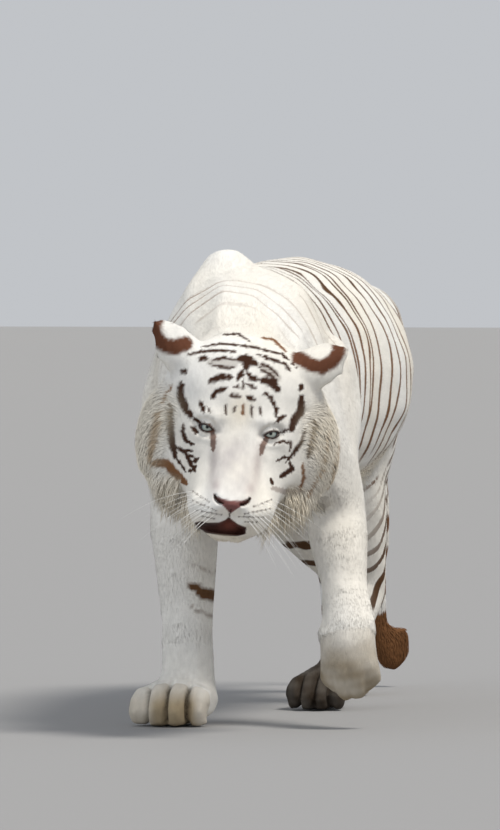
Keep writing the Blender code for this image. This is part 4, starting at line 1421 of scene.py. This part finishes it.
def lid_rim(name, side):
    builder = bmesh.new()
    middles = []
    for across, up in almond_outline():
        deep = math.sqrt((BALL_RADIUS + RIM_RIDE) ** 2 - across ** 2 - up ** 2)
        middles.append(Vector((across, -deep, up)))
    rings = []
    for before, here, after in zip([middles[-1], *middles], middles, [*middles[1:], middles[0]]):
        out = here.normalized()
        sideways = (after - before).normalized().cross(out).normalized()
        thick = RIM_THICKNESS * (1.25 if here.z > 0.001 else 0.85)
        rings.append(ring_round(builder, here, sideways, out, thick, 8, eye_frame(side)))
    for one, other in zip(rings, [*rings[1:], rings[0]]):
        bridged(builder, one, other)
    bmesh.ops.recalc_face_normals(builder, faces=builder.faces)
    made = placed(name + "_lid_rim", built(builder, name + "_lid_rim", RIM_MATERIAL))
    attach(made, "root")


def plain_material(name, scale, detail, dark, light, **constants):
    """A material whose colour drifts between two, in clouds of one size."""
    made, tree, shader = material(name, **constants)
    feed(tree, shader, Base_Color=noise(tree, scale, detail).tint((*dark, 1), (*light, 1)))
    return made


RIM_MATERIAL = plain_material("lid_rim", 700.0, 2.0, (0.016, 0.009, 0.007),
                              (0.040, 0.020, 0.016), Roughness=0.30)
for name, side in SIDES:
    lid_rim(name, side)
print("each rim has", 2 * RIM_STEPS, "rings")

# %% [markdown]
# The skin is seen between the locks and wherever the hair is thin, so it wears the same
# colours. Each point carries how far off the middle of a stripe it is as the sine and
# cosine of a turn, because those two blend well even where one stripe's gap meets the
# next one's. The material turns them back into a distance and draws the line. The skin is
# matt where it is furred. On the nose and lips it is moist, and there its
# bumps are pebbles instead of the fine grain of hair roots.

# %% The skin's finish


def parts_of(vector):
    return [Wire.node(vector.tree, "SeparateXYZ", {}, {"Vector": vector}, axis) for axis in "XYZ"]


def with_rings(tree):
    """The skin's colour, with the rings drawn from the numbers that its points carry."""
    cosine, sine, _ = parts_of(carried(tree, "turn", "Vector"))
    half, apart, spacing = parts_of(carried(tree, "line", "Vector"))
    off = sine.maths("ARCTAN2", sine, cosine) * spacing * (0.5 / math.pi)
    inside = half - abs(abs(off) - apart)
    drawn = inside.between(-RING_EDGE, RING_EDGE) * carried(tree, "ink", "Alpha")
    return drawn.tint(carried(tree, "coat"), carried(tree, "ink"))


def toned(tree, colour, clouds, least, range_):
    """A colour made lighter and darker by clouds."""
    return Wire.node(tree, "HueSaturation", {}, {
        "Value": least + clouds * range_, "Color": colour}, "Color")


def skin_material():
    made, tree, shader = material("fur_skin", Specular_IOR_Level=0.12)
    colour = with_rings(tree)
    bare_part = carried(tree, "bare", "Fac")
    pebble = Wire.node(tree, "TexVoronoi", {}, {"Scale": 520.0}, "Distance")
    height = noise(tree, 420.0, 3.0) * (1 - bare_part) * 0.7 + pebble * bare_part
    bump = Wire.node(tree, "Bump", {}, {"Height": height, "Strength": 0.45, "Distance": 0.0015},
                     "Normal")
    feed(tree, shader, Base_Color=toned(tree, colour, noise(tree, 60.0), 0.86, 0.28),
         Roughness=0.86 - bare_part * 0.34, Normal=bump)
    return made


SKIN_MATERIAL = skin_material()
print("nodes of the skin's finish:", len(SKIN_MATERIAL.node_tree.nodes))

# %% [markdown]
# The skin becomes one object. It rides on the root, since nothing of the model moves, and
# takes the place of all the solids of flesh at once.

# %% Skin object
skin = placed("skin", mesh_of(skin_points, skin_faces, "skin"))
skin.data.shade_smooth()
numbers, ink = rings(skin_points, skin_solid)
off, spacing, half, apart, strength = numbers.T
phase = 2 * math.pi * off / spacing
colour_layer(skin.data, skin_colours)
colour_layer(skin.data, ink, "ink", strength)
number_layer(skin.data, "turn", np.cos(phase), np.sin(phase), 0 * phase)
number_layer(skin.data, "line", half, apart, spacing)
number_layer(skin.data, "bare", bare)
skin.data.materials.append(SKIN_MATERIAL)
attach(skin, "root")
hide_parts(*FLESH)
print("the skin replaces", len(FLESH), "solids")

# %% [markdown]
# The coat itself is many thousands of small solid locks. Short fur that lies flat could be
# bump alone, but from the side a back without a hairy edge looks like plastic, so locks
# stand on every side: short and fine on the face and feet, longer on the trunk, and long
# in the ruff, beard and belly. A lock is a three-sided spike. It starts a little under the
# skin, leans over at once and runs along the lie, and its tip ends at the coat's depth.
#
# First the roots are sown: every triangle of the skin gets as many as its area asks for at
# the spacing of the cover, and a share that is left over is settled by chance.

# %% Sowing the roots
NO_HAIR = 0.45                # share of bare skin past which nothing grows
LID_MARGIN = 0.0030
FLOOR_MARGIN = 0.003
skin_mesh = mesh_of(skin_points, skin_faces)
skin_triangles = triangles_of(skin_mesh)
bpy.data.meshes.remove(skin_mesh)
furry = (bare < NO_HAIR) & (lid_gap(skin_points) > LID_MARGIN)
furry &= (skin_points[:, 2] > FLOOR_MARGIN) & (in_mouth(skin_points) < -0.002)
furry &= ~(is_part(skin_solid, *FEET) & (web.eased(skin_normals, 4)[:, 2] < -0.25))


def sown(seed):
    """Roots of the locks: the triangles they grow from and their weights of its corners."""
    draw = np.random.default_rng(seed)
    a, b, c = (skin_points[skin_triangles[:, k]] for k in range(3))
    area = 0.5 * np.linalg.norm(np.cross(b - a, c - a), axis=1)
    spacing = cover[skin_triangles, 3].mean(axis=1)
    grows = furry[skin_triangles].all(axis=1)
    wanted = np.where(grows, area / spacing ** 2, 0.0)
    count = np.floor(wanted + draw.random(len(wanted))).astype(int)
    chosen = np.repeat(skin_triangles, count, axis=0)
    one, two = draw.random((2, len(chosen)))
    over = one + two > 1
    one, two = np.where(over, 1 - one, one), np.where(over, 1 - two, two)
    return chosen, np.stack((1 - one - two, one, two), axis=1)


def blended(values, corners, weights):
    return (values[corners] * weights[:, :, None]).sum(axis=1)


root_corners, root_weights = sown(5)
roots, root_normals, root_lies, root_cover = (
    blended(values, root_corners, root_weights)
    for values in (skin_points, skin_normals, skin_lie, cover))
root_normals = unit(root_normals)
root_long, root_hang = (
    blended(values[:, None], root_corners, root_weights)[:, 0] for values in (long_hair, hanging))
root_solid = skin_solid[root_corners[:, 0]]
print("locks:", len(roots))

# %% [markdown]
# Each lock differs a little from its neighbours in length, width, height and direction, and
# slow wandering numbers turn whole groups together, as hair does that clumps. Where a
# straight lock would stand off a round back or run into a fold, its middle and tip are
# brought back over the nearest skin. Long hair is brought back only half as much, so that
# the ruff hangs free at its edge, and the hair of the ears isn't, so that it passes the rim.

# %% Laying the locks
YAW_SPREAD = math.radians(9)
SINK = 0.0015
ABOVE_FLOOR = 0.0010
SHORT_HAIR = 0.020            # hair longer than this bends
SHOWS_FROM = 0.30             # of a lock's length: nearer the root it hides under others
SHOWS_TO = 0.75               # past here a short lock is too thin to show
RINGS = (0.0, 0.50, 1.0)
RING_WIDTH = (0.75, 1.0, 0.0)
MIDDLE_HEIGHT = 0.72          # of the tip's, for the middle of a lock that bends


def laid(straight, lift, chosen):
    """Ends of straight locks brought over the nearest skin, for the chosen locks."""
    over = np.empty((len(chosen), 3))
    for row, (point, high) in enumerate(zip(straight[chosen].tolist(), lift[chosen].tolist())):
        spot, normal, *_ = grown_on.find_nearest(point)
        over[row] = spot + normal * high
    free = straight[chosen] + root_normals[chosen] * lift[chosen, None]
    return mix(free, over, hold[chosen])


def jittered(low, high):
    return draw.uniform(low, high, len(roots))


draw = np.random.default_rng(6)
swirl = 0.12 * wander(roots, 0.16, 61) + 0.08 * wander(roots, 0.06, 62)
swirl = swirl + 0.16 * root_long * wander(roots, 0.035, 63)
yaw = YAW_SPREAD * draw.normal(size=len(roots)) + swirl
sides = unit(np.cross(root_normals, root_lies))
ahead = unit(unit(root_lies) * np.cos(yaw)[:, None] + sides * np.sin(yaw)[:, None])
falls = unit(0.40 * ahead + (0, 0, -1.0) + 0.13 * draw.normal(size=roots.shape))
ahead = mix(ahead, falls, root_hang)
sides = unit(np.cross(root_normals, ahead))
length = root_cover[:, 1] * jittered(0.72, 1.25)
under = fade(-root_normals[:, 2], 0.05, 0.45) * is_part(root_solid, *FEET)
length = length * (1 - 0.7 * under) * mix(1.0, jittered(0.55, 1.05), root_hang)
width = root_cover[:, 2] * jittered(0.75, 1.20)
fullness = jittered(0.0, 1.0)            # long hair fills its depth, from low to high
height = root_cover[:, 0] * mix(0.55 + 0.40 * fullness, 0.15 + 0.85 * fullness, root_long)
hold = mix(0.95, 0.75, root_long) * (1 - root_hang)
hold = np.where(is_part(root_solid, *EARS), 0.0, np.maximum(hold, under))
bends = (root_cover[:, 1] > SHORT_HAIR) | is_part(root_solid, "tail")
grown_on = skin_tree()
tips = laid(roots + ahead * length[:, None], height, np.arange(len(roots)))
starts = roots - root_normals * SINK
middles = mix(starts, tips, RINGS[1])
bent = np.flatnonzero(bends)
middles[bent] = laid(roots + ahead * (RINGS[1] * length)[:, None], height * MIDDLE_HEIGHT, bent)
spine = np.stack((starts, middles, tips), axis=1)
spine[:, :, 2] = np.maximum(spine[:, :, 2], ABOVE_FLOOR)
print("locks that bend:", len(bent))

# %% [markdown]
# The locks wear the marks of the coat: the colour is asked for at each ring of every lock,
# so that a stripe has a hairy but clear edge. Roots are a little darker, as light hardly
# gets there, and each lock is a touch lighter or darker than the next.

# %% Colouring the locks
BRIGHTEST = 0.93
shade = draw.normal(0.99, 0.045, len(roots))
lock_colours = np.empty((len(roots), 3, 3))
seen_part = spine.copy()
seen_part[:, 0] = mix(spine[:, 0], spine[:, 2], SHOWS_FROM)
seen_part[~bends, 2] = mix(spine[~bends, 0], spine[~bends, 2], SHOWS_TO)
for ring in (0, 2):
    lock_colours[:, ring] = striped(seen_part[:, ring], root_normals, root_solid)
lock_colours[:, 1] = mix(lock_colours[:, 0], lock_colours[:, 2], 0.5)
lock_colours[bent, 1] = striped(spine[bent, 1], root_normals[bent], root_solid[bent])
lock_colours = painted(lock_colours, (0.50 * root_long)[:, None], CREAM * 1.12)
lock_colours[:, 0] *= 0.95
# the roots of hanging hair are tinted tan: painted shade between the strands under the cheeks
lock_colours[:, 0] = painted(lock_colours[:, 0], 0.12 * root_hang, TAN * 1.6)
lock_colours = np.clip(lock_colours * shade[:, None, None], 0.0, BRIGHTEST)
print("mean colour of the locks:", lock_colours.mean(axis=(0, 1)).round(2))

# %% [markdown]
# To be painted into a texture later, every lock needs its own small place on a flat map.
# The map is an unwrap of the skin's own shape, thinned out first so that it goes quickly.
# A lock gets a patch of that map at the place of its root. Neighbours on the body are then
# neighbours on the map, and share their colours where their patches touch.

# %% The map of the roots
MAP_FACES = 7000
PATCH = 0.0030


def unwrapped():
    """Points, triangles and flat corners of a light copy of the skin."""
    light = placed("light", mesh_of(skin_points, skin_faces, "light"))
    light.modifiers.new("thin", "DECIMATE").ratio = MAP_FACES / len(skin_triangles)
    mesh = evaluated(light)
    light.modifiers.clear()
    light.data = mesh
    bpy.context.view_layer.objects.active = light
    light.select_set(True)
    bpy.ops.object.mode_set(mode="EDIT")
    bpy.ops.mesh.select_all(action="SELECT")
    bpy.ops.uv.smart_project(angle_limit=math.radians(66), island_margin=0.006)
    bpy.ops.object.mode_set(mode="OBJECT")
    flat = read(mesh.uv_layers.active.data, "uv", 2)
    corners, loops = triangles_of(mesh), triangles_of(mesh, "loops")
    places = read(mesh.vertices, "co").astype(float)
    bpy.data.objects.remove(light)
    return places, corners, flat[loops]


def mapped(points):
    """Where points lie on the flat map."""
    places, corners, flat = unwrapped()
    tree = BVHTree.FromPolygons(places.tolist(), corners.tolist())
    face = np.array([tree.find_nearest(p)[2] for p in points.tolist()])
    a, b, c = (places[corners[face, k]] for k in range(3))
    one, two, off = b - a, c - a, points - a

    def dot(v, w):
        return (v * w).sum(axis=1)

    under = np.maximum(dot(one, one) * dot(two, two) - dot(one, two) ** 2, 1e-16)
    s = (dot(two, two) * dot(off, one) - dot(one, two) * dot(off, two)) / under
    t = (dot(one, one) * dot(off, two) - dot(one, two) * dot(off, one)) / under
    s, t = np.clip(s, 0, 1), np.clip(t, 0, 1)
    corner = flat[face]
    return corner[:, 0] + s[:, None] * (corner[:, 1] - corner[:, 0]) + t[:, None] * (
        corner[:, 2] - corner[:, 0])


root_map = mapped(roots)
print("the map spans", root_map.min(axis=0).round(2), "to", root_map.max(axis=0).round(2))

# %% [markdown]
# The spikes are built with arrays, a whole region of the body at a time, and each region
# becomes one object. A long lock bends, so it has a ring in the middle. The short hair of
# the face, ears and feet makes do with a straight spike of four triangles. Each point is
# shaded as if it faced the way the skin does, turned a little to its own side. Thousands
# of spikes then catch the light together as one soft coat, instead of glittering.

# %% Forms of a lock
# a form is its corners (ring, side, lift) and its faces
BENT = (((0, -0.5, -0.1), (0, 0.5, -0.1), (0, 0.0, 0.28),
         (1, -0.5, -0.1), (1, 0.5, -0.1), (1, 0.0, 0.28), (2, 0.0, 0.0)),
        ((0, 2, 1), (0, 1, 4, 3), (1, 2, 5, 4), (2, 0, 3, 5), (3, 4, 6), (4, 5, 6), (5, 3, 6)))
STRAIGHT = (((0, -0.6, -0.1), (0, 0.6, -0.1), (0, 0.0, 0.30), (2, 0.0, 0.0)),
            ((0, 2, 1), (0, 1, 3), (1, 2, 3), (2, 0, 3)))
MOST_TRIANGLES = 190000
ROUNDNESS = 0.55
OWN_SHARE = 0.75               # hair that hangs is seen from all round: its own form shades it


def triangles_in(form):
    return sum(len(face) - 2 for face in form[1])


def lock_material():
    made, tree, shader = material("fur_locks", Roughness=0.70, Specular_IOR_Level=0.03)
    colour = carried(tree, "coat")
    feed(tree, shader, Base_Color=toned(tree, colour, noise(tree, 160.0), 0.94, 0.12))
    return made


LOCK_MATERIAL = lock_material()
# the rest of the shading of hanging hair is that of one soft roll
x, y, z = into(FACE, roots).T
roll = np.stack((0.3 * np.sign(x), (y - CURTAIN_MIDDLE) / 0.09, np.full(len(x), 0.25)), axis=1)
lock_facing = unit(mix(root_normals, turned(FACE, unit(roll)), 0.85 * root_hang))


def coat_piece(name, chosen, form):
    """One object with all the chosen locks."""
    ring, side, lift = np.array(form[0]).T
    ring = ring.astype(int)
    faces, each, count = form[1], len(ring), len(chosen)
    wide = width[chosen][:, None] * np.array(RING_WIDTH)[ring]
    sideways, onward = sides[chosen][:, None], ahead[chosen][:, None]
    upward = unit(np.cross(onward, sideways))
    points = spine[chosen][:, ring] + sideways * (wide * side)[:, :, None]
    points = points + upward * (wide * lift)[:, :, None]
    soft = lock_facing[chosen][:, None] + ROUNDNESS * sideways * (2 * side)[:, None]
    own = sideways * (2 * side)[:, None] + upward * (4 * lift - 0.1)[:, None]
    own = own + onward * (ring == 2)[:, None]
    facing = unit(mix(soft, own, OWN_SHARE * root_hang[chosen][:, None, None]))
    sizes = np.tile([len(face) for face in faces], count)
    corners = np.concatenate([np.array(face) for face in faces])
    loops = (corners[None] + each * np.arange(count)[:, None]).ravel()
    mesh = bpy.data.meshes.new(name)
    mesh.vertices.add(each * count)
    mesh.vertices.foreach_set("co", points.ravel().astype(np.float32))
    mesh.loops.add(len(loops))
    mesh.loops.foreach_set("vertex_index", loops.astype(np.int32))
    mesh.polygons.add(len(sizes))
    starts = np.concatenate([[0], np.cumsum(sizes)[:-1]])
    mesh.polygons.foreach_set("loop_start", starts.astype(np.int32))
    mesh.update(calc_edges=True)
    mesh.shade_smooth()
    mesh.normals_split_custom_set_from_vertices(facing.reshape(-1, 3).tolist())
    colour_layer(mesh, lock_colours[chosen][:, ring].reshape(-1, 3))
    patch = np.stack((side, np.array(RINGS)[ring] - 0.5), axis=1) * PATCH
    flat = (root_map[chosen][:, None] + patch[None]).reshape(-1, 2)
    layer = mesh.uv_layers.new(name="OFBake")
    layer.data.foreach_set("uv", np.clip(flat[loops], 0, 1).astype(np.float32).ravel())
    mesh.materials.append(LOCK_MATERIAL)
    made = placed(name, mesh)
    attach(made, "root")


print("triangles of a lock:", triangles_in(STRAIGHT), "straight and", triangles_in(BENT), "bent")

# %% [markdown]
# The coat is cut into regions along the body. Each piece stays light enough to be handled
# and baked alone, and long and short hair are apart because they have different forms.

# %% Coat pieces
# the ears' word also finds the forearms, so their locks are built a second time there
REGIONS = (
    ("coat_ears", EARS), ("coat_feet", FEET), ("coat_face", OF_HEAD),
    ("coat_tail", ("tail",)), ("coat_fore_legs", ("upper_arm", "forearm")),
    ("coat_hind_legs", ("thigh", "shank", "hind_cannon")),
    ("coat_neck", ("neck", "shoulder", "chest")), ("coat_trunk", ("ribcage", "loin", "rump")),
)
total = 0
for region, words in REGIONS:
    here = is_part(root_solid, *words)
    for ending, form, chosen in (("", STRAIGHT, np.flatnonzero(here & ~bends)),
                                 ("_long", BENT, np.flatnonzero(here & bends))):
        if not len(chosen):
            continue
        name = region + ending
        parts = -(-len(chosen) * triangles_in(form) // MOST_TRIANGLES)
        order = chosen[np.argsort(roots[chosen] @ (0.3, 1.0, 0.2), kind="stable")]
        for index, share in enumerate(np.array_split(order, parts)):
            coat_piece(name if parts == 1 else f"{name}_{index + 1}", share, form)
        total += len(chosen) * triangles_in(form)
        print(name, len(chosen), "locks in", parts, "pieces")
print("triangles of the coat:", total)

# %% [markdown]
# Whiskers are stiff white hairs as long as a hand. Each springs from a dot on the pads,
# sweeps out to the side and bends down a little under its own weight. Hairs so thin are
# round tubes that taper to a point.

# %% Whiskers
WHISKER_ROOT = 0.00046
WHISKER_RINGS = 9
WHISKER_SIDES = 5


def whisker(builder, start, way, span, sag):
    """Adds one tapered hair to the builder."""
    side = Vector(way).cross((0, 0, 1)).normalized()
    lift = side.cross(way).normalized()
    before = None
    for step in range(WHISKER_RINGS + 1):
        t = step / WHISKER_RINGS
        centre = start + way * (span * t) - Vector((0, 0, sag * t * t))
        radius = WHISKER_ROOT * (1 - 0.86 * t)
        ring = ring_round(builder, centre, side, lift, radius, WHISKER_SIDES)
        if before:
            bridged(builder, before, ring)
        else:
            builder.faces.new(ring[::-1])
        before = ring
    builder.faces.new(before)


def whiskers():
    """Makes all the whiskers as one piece, and tells how many."""
    draw = np.random.default_rng(9)
    tree = skin_tree()
    builder = bmesh.new()
    count = 0
    for row, ((x0, z0), (x1, z1), dots) in enumerate(WHISKER_ROWS):
        for dot in range(1, dots):
            t = dot / (dots - 1)
            for side in (1, -1):
                start = seen_at(tree, side * (x0 + t * (x1 - x0)), z0 + t * (z1 - z0))
                if start is None:
                    continue
                way = Vector((side * (0.85 + 0.2 * t), -0.45 + 0.50 * t,
                              -0.28 - 0.20 * row + draw.uniform(-0.10, 0.10)))
                way = (FACE.to_3x3() @ way).normalized()
                span = (0.075 + 0.050 * t) * draw.uniform(0.80, 1.15)
                whisker(builder, start, way, span, draw.uniform(0.018, 0.040))
                count += 1
    finish = plain_material("whisker", 90.0, 2.0, (0.78, 0.77, 0.74), (0.88, 0.88, 0.86),
                            Roughness=0.35)
    made = placed("whiskers", built(builder, "whiskers", finish))
    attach(made, "root")
    return count


print("whiskers:", whiskers())

# %% [markdown]
# The camera stands far off and a little above the tiger's head, slightly to its left, with a
# long lens. So the head, the shoulders and the hips keep their true sizes to each other.

# %% Camera
VIEW_YAW = math.radians(10)
VIEW_DIP = math.radians(1.328)         # how far it looks down
VIEW_TURN = math.radians(0.02)
AWAY, HEIGHT = 18.0, 1.05
SHIFT = Vector((-0.03595, -0.3976, -0.002))     # brings the tiger to the middle of the view
camera = placed("camera", bpy.data.cameras.new("camera"))
camera.location = Vector((math.sin(VIEW_YAW) * AWAY, -math.cos(VIEW_YAW) * AWAY, HEIGHT)) + SHIFT
camera.rotation_euler = (math.radians(90) - VIEW_DIP, 0, VIEW_YAW - VIEW_TURN)
camera.data.lens = 382.55
camera.data.sensor_width = 36
bpy.context.scene.camera = camera
print("the camera stands", AWAY, "m away")

# %% [markdown]
# The light is a soft studio: a large warm sun high on the tiger's left, which models the
# form from above, a faint and very soft cool one low in front on its right, and a bright
# cool surround that fills the shade.

# %% Light
# name, where it comes from, strength, colour, and how wide it is in radians
SUNS = (
    ("key", (0.50, -0.26, 0.95), 2.6, (1.0, 0.95, 0.87), 0.30),
    ("fill", (-0.60, -0.80, 0.22), 0.7, (0.90, 0.95, 1.0), 1.20),
)
world = bpy.data.worlds.new("studio")
world.use_nodes = True
surround = world.node_tree.nodes["Background"].inputs
surround["Color"].default_value = (0.62, 0.64, 0.67, 1)
surround["Strength"].default_value = 0.86
bpy.context.scene.world = world
for name, came_from, strength, colour, spread in SUNS:
    sun = placed(name, bpy.data.lights.new(name, "SUN"))
    sun.data.energy = strength
    sun.data.color = colour
    sun.data.angle = spread
    sun.rotation_euler = Vector(came_from).to_track_quat("Z", "Y").to_euler()
bpy.context.scene.view_settings.view_transform = "Standard"
print("suns:", [name for name, *_ in SUNS])

# %% [markdown]
# The floor is one plain sheet, so large that it has no visible edge, with a faint cloudiness.
# It is darker than the fur, so that a white coat stands out.

# %% Floor
REACH = 60.0
floor = placed("floor", mesh_of(
    [(-REACH, -REACH, 0), (REACH, -REACH, 0), (REACH, REACH, 0), (-REACH, REACH, 0)],
    [(0, 1, 2, 3)], "floor"))
floor.data.materials.append(plain_material(
    "studio_floor", 1.5, 4.0, (0.31, 0.31, 0.32), (0.34, 0.34, 0.34), Roughness=0.85,
    Specular_IOR_Level=0.1))
print("the floor reaches", REACH, "m each way")

# %% [markdown]
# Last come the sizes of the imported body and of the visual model, for comparison.

# %% Size


def corners(bounds):
    return [list(corner) for corner in bounds]
